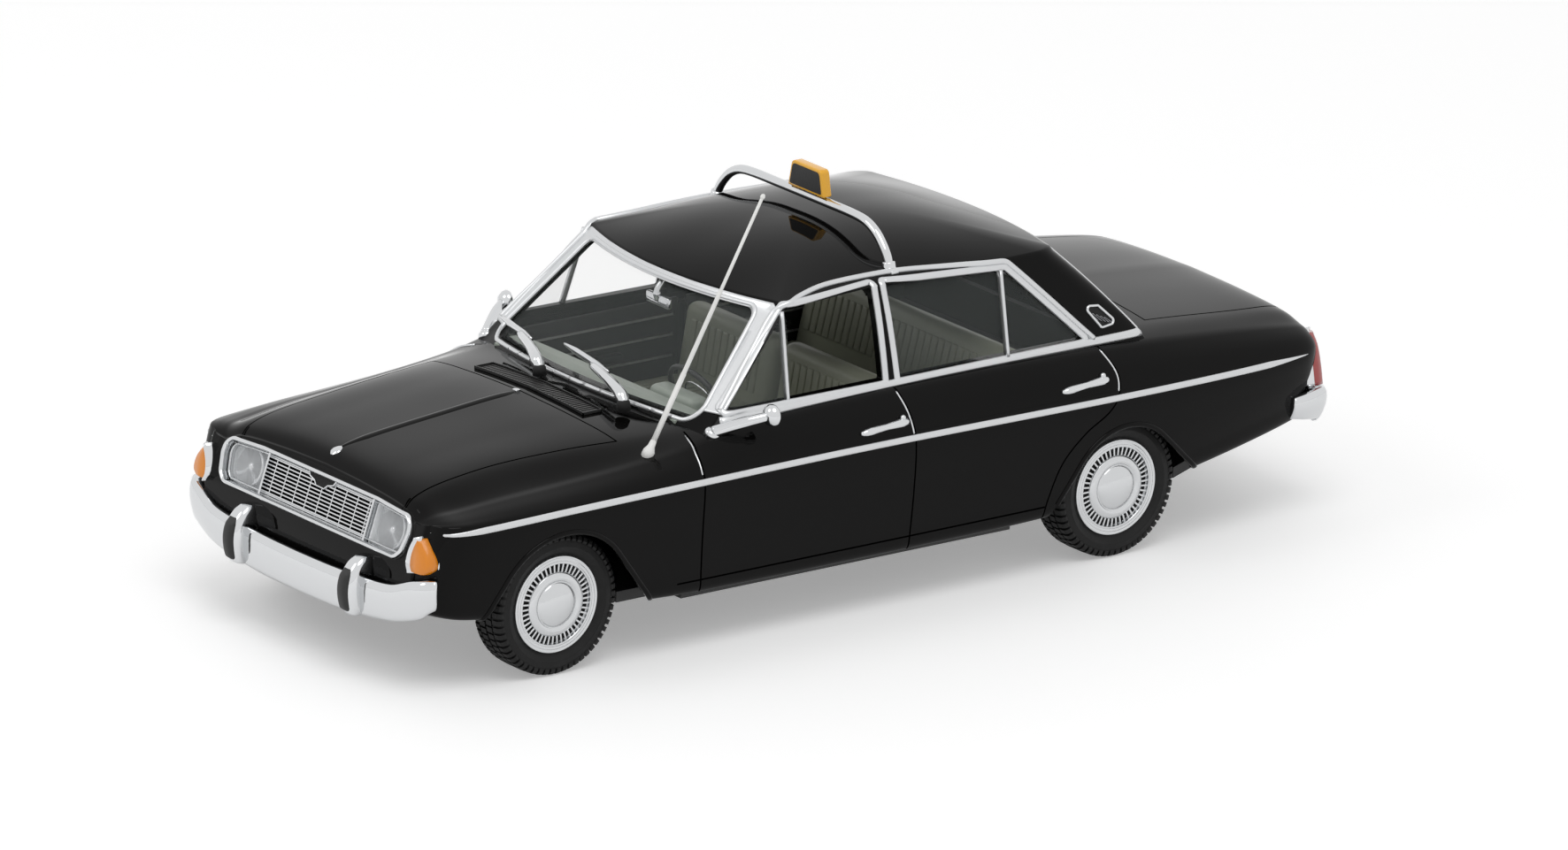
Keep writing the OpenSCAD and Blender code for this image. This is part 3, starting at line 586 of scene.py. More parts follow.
class Shader:
    """A material under construction."""

    def __init__(self, name, colour, rough, metal=0.0, **extra):
        self.material = bpy.data.materials.new(name)
        self.material.use_nodes = True
        self.tree = self.material.node_tree
        self.surface = self.tree.nodes["Principled BSDF"]
        self.set("Base Color", (*colour, 1))
        self.set("Roughness", rough)
        self.set("Metallic", metal)
        for key, value in extra.items():
            self.set(key.replace("_", " "), value)
        self.coords = self.node("ShaderNodeTexCoord", {}, out="Object")

    def set(self, key, value):
        """Gives the surface a plain value or a linked one."""
        socket = self.surface.inputs[key]
        if isinstance(value, Value):
            self.tree.links.new(value.socket, socket)
        else:
            socket.default_value = value

    def node(self, kind, inputs, out=0, **props):
        """Adds a node with its settings, then the values or links of its sockets."""
        made = self.tree.nodes.new(kind)
        for key, value in props.items():
            setattr(made, key, value)
        for key, value in inputs.items():
            if isinstance(value, Value):
                self.tree.links.new(value.socket, made.inputs[key])
            else:
                made.inputs[key].default_value = value
        return Value(self, made.outputs[out])

    def noise(self, size):
        """Noise from 0 to 1 whose lumps are about size millimetres."""
        return self.node("ShaderNodeTexNoise", {"Vector": self.coords, "Scale": 1000 / size, "Detail": 3.0})

    def bump(self, height, depth):
        """Bumps the surface by a height from 0 to 1, depth in millimetres."""
        inputs = {"Height": height, "Distance": depth * MM, "Strength": 1.0}
        self.set("Normal", self.node("ShaderNodeBump", inputs, out="Normal"))

    def vary(self, key, low, high, size):
        """Lets a value drift between two limits over lumps of a size."""
        self.set(key, self.noise(size).between(low, high))


def finish(name, colour, rough, metal=0.0, spread=0.15, grain=3.0, bump=None, **extra):
    """A plain finish whose roughness drifts by a share of itself over lumps of grain mm."""
    made = Shader(name, colour, rough, metal, **extra)
    made.vary("Roughness", rough * (1 - spread), rough * (1 + spread), grain)
    if bump:
        size, depth = bump
        made.bump(made.noise(size), depth)
    return made.material


# %% [markdown]
# ## The finishes themselves
#
# The model has few finishes: deep gloss enamel, bright plating on the bumpers, a duller silver
# paint on the strips and frames, rubber, a grey-green moulding for the seats, and clear or
# coloured plastic. The enamel is kept almost free of its own colour, so that what it shows is
# reflection. The plating is a middling grey, since a brighter one would clip to white here.

# %% Finishes
enamel = finish("black enamel", (0.003, 0.0028, 0.0027), 0.035, bump=(2.5, 0.001), IOR=1.2)
silver = finish("silver paint", (0.66, 0.67, 0.68), 0.30, 0.75, bump=(0.35, 0.006))
chrome = finish("bright plating", (0.64, 0.65, 0.66), 0.07, 1.0, bump=(1.2, 0.006))
dark_chrome = finish("dark plating", (0.22, 0.22, 0.23), 0.16, 1.0)
black = finish("satin black", (0.006, 0.006, 0.006), 0.45, grain=1.5, bump=(0.25, 0.01))
rib_black = finish("cowl ribs", (0.035, 0.034, 0.033), 0.35)
void = finish("deep black", (0.002, 0.002, 0.002), 0.8)
rubber = finish("tyre rubber", (0.006, 0.006, 0.006), 0.6, grain=1.0, bump=(0.3, 0.015), IOR=1.35)
pad = finish("pad rubber", (0.010, 0.010, 0.010), 0.5, bump=(0.3, 0.01))
trim_grey = finish("seat moulding", (0.33, 0.345, 0.27), 0.42, grain=2.0, bump=(0.35, 0.012))
dash_grey = finish("dashboard moulding", (0.36, 0.40, 0.35), 0.4, grain=2.0, bump=(0.35, 0.008))
door_black = finish("door card", (0.010, 0.010, 0.011), 0.5, bump=(0.3, 0.01))
amber = finish("amber lens", (0.80, 0.25, 0.002), 0.3, bump=(0.7, 0.05), Coat_Weight=0.3)
red = finish("red lens", (0.36, 0.012, 0.008), 0.14, bump=(0.8, 0.04), Coat_Weight=1.0)
yellow = finish("sign yellow", (0.93, 0.46, 0.008), 0.22, bump=(1.0, 0.004), Coat_Weight=0.4)
plate_white = finish("blank plate", (0.78, 0.78, 0.75), 0.35)
steel = finish("drawn steel", (0.55, 0.55, 0.55), 0.3, 1.0)
cast = finish("exhaust grey", (0.22, 0.22, 0.22), 0.5, 0.6, bump=(0.4, 0.02))
glass = finish("clear pane", (0.30, 0.33, 0.32), 0.03, spread=0.0, Alpha=0.07)
lens = finish("lamp lens", (0.92, 0.94, 0.96), 0.12, spread=0.0, Alpha=0.22)
bowl = finish("lamp bowl", (0.93, 0.95, 0.96), 0.35)
disc_silver = finish("wheel cover", (0.62, 0.63, 0.64), 0.16, 0.95, bump=(0.8, 0.003))
aerial_white = finish("aerial silver", (0.90, 0.90, 0.88), 0.35)


# %% [markdown]
# ## Attaching a piece
#
# Each finished piece is attached to the moving body that carries it, and the CAD nodes it
# stands for are hidden, so that the piece moves with its body.

# %% Attaching a piece
def dress(obj, body, slot, *replaced):
    """Attaches a finished piece to what it rides on and hides the CAD nodes it stands for; slot is not used."""
    obj.name = obj.name.replace(" ", "_")
    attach(obj, body)
    if replaced:
        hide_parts(*replaced)
    extent = " x ".join(f"{side / MM:.1f}" for side in obj.dimensions)
    print(f"{obj.name}: {len(obj.data.polygons)} faces, {extent} mm")
    return obj


# %% [markdown]
# ## Body skin
#
# The lower body is a loft through cross-sections from nose to tail, and the cabin is a loft
# through level outlines that closes over a domed roof. Both follow the part's own tables,
# at a finer step, and the rows are smoothed a little so that reflections run evenly.

# %% Lower body
STRIP_Z = 15.7
WALL = 0.9
NOSE_LEAN = math.radians(18)
NOSE_LIP = (45.9, 11.9)
# from nose to tail: place along the car, lower edge, half width at the strip, shoulder out
# and up, deck edge out and up, height amidships
BODY_ROWS = [
    [45.5, 8.3, 16.3, 14.6, 15.5, 12.5, 16.3, 17.0],
    [45.1, 7.7, 17.5, 15.2, 16.0, 12.8, 16.8, 17.6],
    [44.0, 7.2, 18.4, 15.6, 16.35, 12.9, 17.2, 18.1],
    [41.5, 6.6, 19.0, 15.8, 16.5, 12.7, 17.75, 18.5],
    [36.5, 6.2, 19.45, 16.2, 17.0, 12.5, 18.4, 19.05],
    [31.0, 5.9, 19.65, 16.4, 17.3, 12.9, 18.8, 19.55],
    [24.0, 5.4, 19.8, 16.7, 17.8, 13.5, 19.1, 20.15],
    [17.0, 5.1, 19.9, 17.0, 18.5, 13.9, 19.25, 20.1],
    [13.5, 5.05, 19.9, 17.3, 19.2, 14.2, 19.6, 20.1],
    [8.0, 5.0, 19.9, 17.6, 19.95, 14.4, 20.05, 20.3],
    [-8.0, 5.0, 19.9, 17.7, 20.3, 14.5, 20.3, 20.4],
    [-22.0, 5.1, 19.85, 17.7, 20.25, 14.5, 20.4, 20.6],
    [-33.0, 5.8, 19.7, 17.4, 19.9, 14.4, 20.4, 20.85],
    [-41.0, 7.0, 19.4, 16.9, 19.3, 14.1, 19.9, 20.5],
    [-48.0, 8.2, 18.9, 16.4, 18.6, 13.7, 19.2, 19.95],
    [-53.0, 9.1, 18.2, 15.9, 17.9, 13.3, 18.6, 19.3],
    [-54.6, 9.6, 17.5, 15.5, 17.4, 13.0, 18.0, 18.5],
    [-55.2, 10.2, 16.6, 14.9, 16.6, 12.5, 17.1, 17.5],
]


def evened(rows, times):
    """Runs the rows past their neighbours, so that they lie on smoother lines."""
    rows = rows.copy()
    for _ in range(times):
        rows[1:-1] = (rows[:-2] + 2 * rows[1:-1] + rows[2:]) / 4
    return rows


def lean(x, z):
    """Leans the nose back above its lip."""
    back = math.tan(NOSE_LEAN) * np.maximum(z - NOSE_LIP[1], 0)
    return x - back * (np.maximum(x - 38, 0) / 7.5) ** 2


def section(row, inset=0.0, per=8):
    """One closed cross-section of the lower body; a cavity's is set in and open below."""
    x, low, wide, shoulder_y, shoulder_z, edge_y, edge_z, top = row
    out, up = wide - shoulder_y, shoulder_z - STRIP_Z
    if inset:
        low = -1.0
    side = smooth([
        [wide - 2.0, low], [wide - 0.85, low + 0.4], [wide - 0.5, low + 2.2],
        [wide - 0.12, (low + STRIP_Z) / 2 + 1.2], [wide, STRIP_Z],
        [wide - 0.25 * out, STRIP_Z + 0.52 * up], [wide - 0.75 * out, STRIP_Z + 0.89 * up],
        [shoulder_y - 0.3, shoulder_z + 0.05], [edge_y, edge_z],
        [edge_y * 0.55, top * 0.7 + edge_z * 0.3], [0, top],
    ], per)
    side[:, 0] = np.maximum(side[:, 0] - inset, 0)
    side[side[:, 1] > low + 3, 1] -= inset
    half = np.vstack([[[0, low]], side])
    ring = np.vstack([half, half[-2:0:-1] * [-1, 1]])
    along = np.full(len(ring), x * (1 - inset * 0.024))
    return np.column_stack([lean(along, ring[:, 1]), ring])


def eased_end(ring, ahead, radius):
    """Rings that round off an end of a loft."""
    centre = ring.mean(axis=0)
    away = ring - centre
    length = np.linalg.norm(away[:, 1:], axis=1)[:, None]
    rings = []
    for angle in np.radians([15, 35, 55, 75, 90]):
        eased = centre + away * (1 - radius * (1 - math.cos(angle)) / length)
        eased[:, 0] = ring[:, 0] + ahead * radius * math.sin(angle)
        rings.append(eased)
    return rings


rows = evened(smooth(BODY_ROWS, 12), 24)
outer_rings = [section(row) for row in rows]
lower = loft("lower body", eased_end(outer_rings[0], 1, 0.3)[::-1] + outer_rings
             + eased_end(outer_rings[-1], -1, 0.22))
lower_core = loft("lower core", [section(row, WALL, 2) for row in smooth(BODY_ROWS, 3)])

# %% [markdown]
# ## Cabin form
#
# The cabin leans in on every side and closes over a gently domed roof. It is a second loft,
# through level outlines this time, because its pillars lean and a stack of level rings follows
# them better than upright sections do. It is joined to the body later.

# %% Cabin form
ROOF_Z = 32.3
# height, nose amidships, screen corner along and out, half width at the side, rear corner
# along and out, tail amidships
ROOF_ROWS = [
    [18.6, 18.7, 15.1, 16.7, 17.75, -36.0, 17.1, -37.4],
    [20.5, 16.75, 13.1, 16.25, 17.25, -34.7, 16.7, -36.0],
    [23.3, 13.4, 10.2, 15.6, 16.55, -32.2, 15.7, -33.4],
    [26.1, 10.1, 7.3, 14.85, 15.75, -29.6, 14.4, -30.9],
    [28.7, 7.1, 4.7, 14.0, 14.85, -27.0, 13.0, -28.4],
]
CABIN_MID = -9.5


def cabin_outline(row):
    """Level outline of the cabin, relative to its middle."""
    _, nose, corner_x, corner_y, side_y, rear_x, rear_y, tail = row
    lead, trail = 1.6, 2.4
    u = np.linspace(0, 1, 17)[:-1]
    front = np.column_stack([nose - (nose - corner_x) * u**2, corner_y * u])
    a = np.linspace(0, math.pi / 2, 9)[:-1]
    turn = np.column_stack([corner_x - lead * (1 - np.cos(a)), corner_y + (side_y - corner_y) * np.sin(a)])
    u = np.linspace(0, 1, 41)
    side = np.column_stack([corner_x - lead + (rear_x + trail - corner_x + lead) * u, side_y - 0.25 * u])
    a = np.linspace(0, math.pi / 2, 13)[1:]
    back = np.column_stack([rear_x + trail * (1 - np.sin(a)), rear_y + (side_y - 0.25 - rear_y) * np.cos(a)])
    u = 1 - np.linspace(0, 1, 17)[1:]
    rear = np.column_stack([tail - (tail - rear_x) * u**2, rear_y * u])
    half = np.vstack([front, turn, side, back, rear])
    full = np.vstack([half, half[-2:0:-1] * [1, -1]])
    return full - [CABIN_MID, 0]


def level(row, z, inset=0.0, shrink=1.0):
    """A level ring; shrunk rings round out towards the middle, so that no crease runs up."""
    p = cabin_outline(row)
    far = np.linalg.norm(p, axis=1)
    if shrink < 1:
        c, s = np.abs(p[:, 0] / far), np.abs(p[:, 1] / far)
        round_far = ((c / 17.2) ** 2.7 + (s / 14.85) ** 2.7) ** (-1 / 2.7)
        keep = shrink**4
        p = p * (keep + (1 - keep) * round_far / far)[:, None]
        far = np.linalg.norm(p, axis=1)
    p = p * (shrink * (1 - inset / far))[:, None]
    return np.column_stack([p[:, 0] + CABIN_MID, p[:, 1], np.full(len(p), z)])


def cabin(name, inset=0.0, foot=None):
    """The cabin form, set in by inset and carried down to foot."""
    rings = [] if foot is None else [level(ROOF_ROWS[0], foot, inset)]
    for row in smooth(ROOF_ROWS, 8):
        rings.append(level(row, row[0] - (0.8 * inset if row[0] > 28.6 else 0), inset))
    for s in np.sin(np.linspace(math.pi / 2, 0.01, 26))[2:]:
        rings.append(level(ROOF_ROWS[-1], 29.0 + (ROOF_Z - 29.0) * (1 - s**2.5) - inset, inset, s))
    return loft(name, rings)


upper = cabin("cabin")
print(f"skins: {len(lower.data.polygons)} and {len(upper.data.polygons)} faces")


# %% [markdown]
# ## Finding places on the skin
#
# Strips, handles and lamps have to sit on the bodywork. A ray that is cast at the uncut skin
# gives the place and the smooth normal there, so a line drawn flat in a side view becomes a
# line on the curved flank. A Shrinkwrap modifier would also do it, without the normals.

# %% Finding places on the skin
class Skin:
    """The uncut body surface in drawing millimetres."""

    def __init__(self, objects):
        self.parts = []
        for obj in objects:
            mesh = obj.data
            points = [Vector((v.co.x / MM - SHIFT, v.co.y / MM, v.co.z / MM)) for v in mesh.vertices]
            faces = [tuple(f.vertices) for f in mesh.polygons]
            normals = [v.normal.copy() for v in mesh.vertices]
            self.parts.append((BVHTree.FromPolygons(points, faces), points, faces, normals))

    def normal(self, part, point, face):
        """The normal at a point of a face, blended from the face's corners."""
        _, points, faces, normals = part
        corners = faces[face]
        if len(corners) > 4:
            a, b, c = (points[i] for i in corners[:3])
            return (b - a).cross(c - a).normalized()
        near = [1 / ((points[i] - point).length + 1e-5) ** 2 for i in corners]
        total = Vector((0, 0, 0))
        for w, i in zip(near, corners):
            total += normals[i] * w
        return total.normalized()

    def hit(self, start, way):
        """The first place a ray meets, and the smooth normal there."""
        best = None
        for part in self.parts:
            at, _, face, far = part[0].ray_cast(Vector(start), Vector(way))
            if at is not None and (best is None or far < best[0]):
                best = (far, at, self.normal(part, at, face))
        return best and best[1:]

    def near(self, point, within):
        """Smooth normals of the skins that pass within reach of the point."""
        found = []
        for part in self.parts:
            at, _, face, far = part[0].find_nearest(point, within)
            if at is not None:
                found.append(self.normal(part, at, face))
        return found


skin = Skin([lower, upper])


def lay(path, way):
    """Drops a line of points along way onto the skin: the points and the normals there."""
    hits = [skin.hit(Vector(p) - Vector(way) * 40, way) for p in path]
    hits = [h for h in hits if h]
    return np.array([h[0] for h in hits]), np.array([h[1] for h in hits])


def from_side(path, step=0.5, curve=0):
    """A side-view line of (x, z) laid on the left flank."""
    flat = smooth(path, curve) if curve else np.asarray(path, float)
    flat = resample(np.column_stack([flat[:, 0], np.zeros(len(flat)), flat[:, 1]]), step)
    flat[:, 1] = 0
    return lay(flat, (0, -1, 0))


def from_above(path, step=0.5, curve=0):
    """A plan-view line of (x, y) laid on the top."""
    flat = smooth(path, curve) if curve else np.asarray(path, float)
    flat = resample(np.column_stack([flat, np.full(len(flat), 25.0)]), step)
    return lay(flat, (0, 0, -1))


def from_front(path, way=-1, step=0.5):
    """A front-view line of (y, z) laid on the nose or, from behind, on the tail."""
    flat = np.asarray(path, float)
    flat = resample(np.column_stack([np.full(len(flat), -9.0 if way < 0 else -12.0), flat]), step)
    return lay(flat, (way, 0, 0))


# %% [markdown]
# ## Openings
#
# The hollow, the windows, the wheel arches, the nose pocket and the shut lines are cut by
# booleans. Afterwards every outer corner takes its normal from the uncut skin, so the cuts
# leave no dents in the reflections.

# %% Outlines
FRONT_OPENING = [[11.0, 21.5], [4.0, 28.2], [-5.0, 28.55], [-4.8, 21.4]]
REAR_OPENING = [[-7.6, 21.35], [-7.5, 28.5], [-20.2, 27.7], [-26.8, 21.4]]
OPENING_R = 0.45
BACK_SCREEN = [[-13.85, 21.9], [13.85, 21.9], [10.8, 27.2], [-10.8, 27.2]]
SCREEN_R = 0.6
# the windscreen's lower edge bows with the cowl
screen_foot = [[y, 20.5 - 0.55 * (y / 15.1) ** 2] for y in np.linspace(-15.1, 15.1, 15)]
LAMP_OUTLINE = [[0, 16.55], [8.6, 16.4], [13.2, 16.1], [13.95, 15.5], [14.05, 14.6], [13.65, 12.9],
                [12.9, 12.15],
                [0, 11.95]]


def puffed(points, radius, steps=6):
    """A convex outline grown by radius, with round corners."""
    p = np.asarray(points, float)
    area = np.sum(p[:, 0] * np.roll(p[:, 1], -1) - np.roll(p[:, 0], -1) * p[:, 1])
    if area < 0:
        p = p[::-1]
    edges = np.roll(p, -1, 0) - p
    angle = np.arctan2(-edges[:, 0], edges[:, 1])
    out = []
    for i, q in enumerate(p):
        a, b = angle[i - 1], angle[i]
        turn = (b - a) % (2 * math.pi)
        for k in range(steps + 1):
            w = a + turn * k / steps
            out.append(q + radius * np.array([math.cos(w), math.sin(w)]))
    return np.array(out)


def hull(points):
    """The convex outline around some points."""
    p = sorted(map(tuple, points))

    def chain(order):
        line = []
        for q in order:
            while len(line) > 1 and np.cross(np.subtract(line[-1], line[-2]),
                                             np.subtract(q, line[-2])) <= 1e-9:
                line.pop()
            line.append(q)
        return line[:-1]

    return np.array(chain(p) + chain(p[::-1]))


def arch(hub_x, radius, ahead, behind, low=3.0):
    """A wheel arch: a circle over the wheel that spreads to its feet."""
    wheel = circle(radius, 96) + [hub_x, HUB_Z]
    return hull(list(map(tuple, wheel)) + [(hub_x + ahead, low), (hub_x - behind, low)])


WHEEL_WELL_R = 7.5
FRONT_ARCH = arch(FRONT_HUB, 7.1, 10.4, 11.8)
REAR_ARCH = arch(REAR_HUB, 6.3, 10.0, 13.2)


def lamp_opening():
    """Both halves of the lamp and grille opening, seen square on."""
    right = LAMP_OUTLINE[1:-1]
    return [*right, *[[-y, z] for y, z in right[::-1]]]


def shrunk(points, inset):
    """A convex outline set in by a distance."""
    p = np.asarray(points, float)
    area = np.sum(p[:, 0] * np.roll(p[:, 1], -1) - np.roll(p[:, 0], -1) * p[:, 1])
    if area < 0:
        p = p[::-1]
    e = np.roll(p, -1, 0) - p
    e = e / np.linalg.norm(e, axis=1)[:, None]
    n = np.column_stack([-e[:, 1], e[:, 0]])
    out = []
    for i in range(len(p)):
        a, b = n[i - 1], n[i]
        out.append(p[i] + inset * (a + b) / (1 + a @ b))
    return np.array(out)


def on_nose(points):
    """Points drawn upright at x = 0, carried onto the leaning nose."""
    p = np.asarray(points, float)
    c, s = math.cos(NOSE_LEAN), math.sin(NOSE_LEAN)
    up = p[..., 2] - NOSE_LIP[1]
    return np.stack([
        NOSE_LIP[0] + p[..., 0] * c - up * s, p[..., 1], NOSE_LIP[1] + p[..., 0] * s + up * c,
    ], axis=-1)


def nose_prism(name, outline, low, high, material=None):
    """A front-view outline given depth square to the leaning nose."""
    outline = np.asarray(outline, float)
    rings = [on_nose(np.column_stack([np.full(len(outline), x), outline])) for x in (low, high)]
    return loft(name, rings, material, soft=False)


def window(outline, grow=0.0):
    """A side opening seen from the side, its corners kept crisp."""
    return rounded(shrunk(outline, -OPENING_R - grow), 0.16 + 0.4 * grow, 6)


def screen_outline(grow=0.0):
    """The windscreen opening seen from the front, grown outwards."""
    corners = shrunk([*screen_foot, [12.35, 28.25], [-12.35, 28.25]], -grow)
    foot = len(screen_foot)
    radii = np.full(len(corners), 0.01)
    radii[[0, foot - 1]] = 0.9 + grow
    radii[foot:] = 1.1 + grow
    return rounded(corners, radii, 8)


# %% [markdown]
# ## Shut lines
#
# The doors, the bonnet and the boot are cast shut, so their gaps are only engraved lines. Each
# is a thin blade swept along a line on the skin and cut away from the body.

# %% Shut lines
FRONT_CUT = [(16.3, 5.2), (16.6, 10.0), (16.6, 15.8), (16.3, 18.0), (15.6, 19.2)]
MID_CUT = [(-7.0, 5.2), (-7.0, 16.0), (-6.6, 18.5), (-6.1, 20.3)]
REAR_CUT = [(-29.3, 20.3), (-30.4, 17.75), (-30.1, 15.76), (-29.0, 14.5), (-26.5, 13.0), (-24.0, 10.5),
            (-22.6, 7.0), (-22.3, 5.3)]
SILL_LINE = [(19.0, 6.6), (-22.4, 6.6)]
BONNET_CUT = [(44.2, 12.45), (39.5, 12.4), (34.3, 12.45), (27.0, 13.2), (22.1, 13.9)]
BONNET_END = [(22.1, 13.95), (22.5, 7), (22.6, 0), (22.5, -7), (22.1, -13.95)]
BOOT_CUT = [(-37.6, 13.6), (-45.0, 13.4), (-50.0, 13.0), (-54.2, 12.3)]
BOOT_END = [(-37.7, 13.65), (-38.2, 7), (-38.3, 0), (-38.2, -7), (-37.7, -13.65)]
BOOT_FACE = [(12.2, 17.0), (12.2, 14.6), (-12.2, 14.6), (-12.2, 17.0)]


def groove(points, normals, width=0.17, depth=0.3):
    """A blade along a line on the skin, to be cut away."""
    w = width / 2
    return sweep("groove", points, normals, [[w, -depth], [w, 0.5], [-w, 0.5], [-w, -depth]])


cutters = []
for line, per in ((FRONT_CUT, 6), (MID_CUT, 6), (REAR_CUT, 6), (SILL_LINE, 0)):
    cutters += with_twins([groove(*from_side(line, 0.4, per))])
for line in (BONNET_CUT, BOOT_CUT):
    cutters += with_twins([groove(*from_above(line, 0.5, 5))])
cutters += [groove(*from_above(line, 0.5, 5)) for line in (BONNET_END, BOOT_END)]
cutters.append(groove(*from_front(BOOT_FACE, 1, 0.5)))

# %% [markdown]
# ## Cutting the body
#
# The casting is one hollow shell. The lower body and the cabin are joined, their cores are taken
# out, and then each window, wheel arch and pocket is cut through the wall.

# %% Cutting the body
body = lower
boolean(body, upper, "UNION", keep=True)
boolean(body, lower_core)
boolean(body, cabin("cabin core", WALL, 8.0))
boolean(body, prism("screen", screen_outline(), "x", -2, 22))
boolean(body, prism("back screen", puffed(BACK_SCREEN, SCREEN_R), "x", -44, -20))
# each opening's outline and how far from the middle its cut starts and ends
SIDE_OPENINGS = (
    (window(FRONT_OPENING), 11, 21),
    (window(REAR_OPENING), 11, 21),
    (FRONT_ARCH, 16.9, 22),
    (REAR_ARCH, 16.9, 22),
    (circle(WHEEL_WELL_R, 96) + [FRONT_HUB, HUB_Z], 13.15, 18.75),
    (circle(WHEEL_WELL_R, 96) + [REAR_HUB, HUB_Z], 13.15, 18.75),
)
for side in (1, -1):
    for outline, low, high in SIDE_OPENINGS:
        boolean(body, prism("opening", outline, "y", *sorted((low * side, high * side))))
boolean(body, nose_prism("nose pocket", puffed(lamp_opening()[::-1], 0.05), -3.4, 2.5))
for cutter in cutters:
    boolean(body, cutter)
print(f"body: {len(body.data.polygons)} faces, {volume(body) * 1e9:.0f} mm3")


# %% [markdown]
# ## Smooth corners
#
# A boolean leaves long thin faces round each cut, and their normals would dent the reflections.
# So every outer corner of the mesh takes the normal of the uncut skin at that place.

# %% Smooth corners
def carry_normals(obj, reach=0.004, agree=0.8):
    """Gives the outer corners the uncut skin's smooth normals."""
    mesh = obj.data
    auto_smooth(obj, 30)
    corner = np.zeros(len(mesh.loops) * 3)
    mesh.corner_normals.foreach_get("vector", corner)
    corner = corner.reshape(-1, 3)
    found = [skin.near(Vector((v.co.x / MM - SHIFT, v.co.y / MM, v.co.z / MM)), reach) for v in mesh.vertices]
    for face in mesh.polygons:
        for loop in face.loop_indices:
            options = found[mesh.loops[loop].vertex_index]
            if options:
                best = max(options, key=face.normal.dot)
                if best.dot(face.normal) > agree:
                    corner[loop] = best
    mesh.normals_split_custom_set([tuple(n) for n in corner])


carry_normals(body)
body.name = "body"
dress(painted(body, enamel), "model", "black_enamel", "body_shell")

# %% [markdown]
# ## Bright trim
#
# On the real model the trim is cast in and painted silver. Every strip is a low profile swept
# along a line that was laid on the skin: the side strip, the belt, the drip rail, the window
# frames and the screen surrounds.

# %% Strips
def taper(points, start=0.0, end=0.0, least=0.12):
    """Scale along a line whose ends narrow over the given lengths."""
    far = np.concatenate([[0], np.cumsum(np.linalg.norm(np.diff(points, axis=0), axis=1))])
    scale = np.ones(len(points))
    if start:
        scale = np.minimum(scale, least + (1 - least) * far / start)
    if end:
        scale = np.minimum(scale, least + (1 - least) * (far[-1] - far) / end)
    return scale


def loop_on(layer, outline):
    """A closed outline laid on the skin."""
    points, normals = layer(np.vstack([outline, outline[:1]]))
    return points[:-1], evened_loop(normals[:-1], 4)


def evened_loop(values, times):
    """Runs the values of a closed line past their neighbours."""
    for _ in range(times):
        values = (np.roll(values, 1, 0) + 2 * values + np.roll(values, -1, 0)) / 4
    return values


def strip(name, line, profile, material=silver, closed=False, scale=None):
    """A sweep along a line of points and normals on the skin."""
    points, normals = line
    if not closed:
        normals = evened(normals, 4)
    return sweep(name, points, normals, profile, material, closed, scale)


SIDE_STRIP = [(45.0, 15.1), (38.0, 15.45), (30.0, 15.7), (16.6, 15.9), (4.0, 16.0), (-7.0, 16.0),
              (-30.0, 15.75), (-45.0, 15.6), (-53.2, 15.54)]
BELT = [(13.0, 20.2), (4.0, 20.35), (-10.0, 20.5), (-24.0, 20.5), (-34.9, 20.5)]
RAIL = [(12.55, 20.95), (11.1, 22.4), (7.75, 25.7), (5.1, 28.3), (4.3, 28.85), (3.3, 29.1), (2.0, 29.3),
        (-1.0, 29.6), (-5.0, 29.7), (-9.0, 29.65), (-14.0, 29.35), (-19.8, 28.95), (-20.6, 28.85),
        (-21.1, 28.55), (-24.4, 25.4), (-27.6, 22.3), (-29.2, 20.8)]


def side_trim_and_gap_highlights():
    """All the strips and frames of the left side, and the painted highlights at its door gaps."""
    parts = []
    line = from_side(SIDE_STRIP, 0.6, 6)
    parts.append(strip("side strip", line, half_round(0.62, 0.16), scale=taper(line[0], 5, 5)))
    parts.append(strip("belt", from_side(BELT, 0.5, 6), half_round(0.8, 0.24)))
    parts.append(strip("rail", from_side(RAIL, 0.35, 5), half_round(0.56, 0.3)))
    for outline in (FRONT_OPENING, REAR_OPENING):
        around = loop_on(lambda p: from_side(p, 0.35), window(outline, 0.32))
        parts.append(strip("frame", around, half_round(0.66, 0.2), closed=True))
    # painted highlights: thin chrome sweeps at the door gaps stand for the light caught on each gap's edge
    for line, low, high in ((FRONT_CUT, 16.3, 19.2), (MID_CUT, 16.35, 20.1), (REAR_CUT, 16.1, 20.1)):
        edge = [(x + 0.2, z) for x, z in smooth(line, 6) if low < z < high]
        parts.append(strip("door edge", from_side(edge, 0.3), half_round(0.17, 0.12), chrome))
    return parts


def on_side_plane(x, z, out=0.0):
    """A point in the leaning plane of the side windows."""
    return np.array([x, 17.25 - (z - 20.5) * 2.4 / 8.2 + out, z])


def post(name, foot, head, width=0.34, depth=0.42):
    """An upright bar across a window opening."""
    points = np.linspace(on_side_plane(*foot), on_side_plane(*head), 12)
    normals = np.tile([0.0, 1.0, 0.29], (12, 1))
    return sweep(name, points, normals, half_round(width, 0.12, depth), silver)


left = side_trim_and_gap_highlights()
left += [post("quarter post", (5.45, 20.8), (4.7, 28.5)), post("rear divider", (-19.35, 20.8), (-19.9, 28.3))]
trim_and_gap_highlights = with_twins(left)


def screen_loop(outline, start, way):
    """A screen's outline laid on the skin from start, forwards or backwards."""
    flat = resample(np.vstack([outline, outline[:1]]), 0.4)
    points, normals = lay(np.column_stack([np.full(len(flat), start), flat]), (way, 0, 0))
    return points[:-1], evened_loop(normals[:-1], 4)


rear_loop = screen_loop(puffed(BACK_SCREEN, SCREEN_R + 0.28, 10), -45.0, 1)
front_loop = screen_loop(screen_outline(0.22), 0.0, -1)
trim_and_gap_highlights.append(strip("rear screen frame", rear_loop, half_round(0.5, 0.2), closed=True))
trim_and_gap_highlights.append(strip("front screen frame", front_loop, half_round(0.46, 0.24), closed=True))


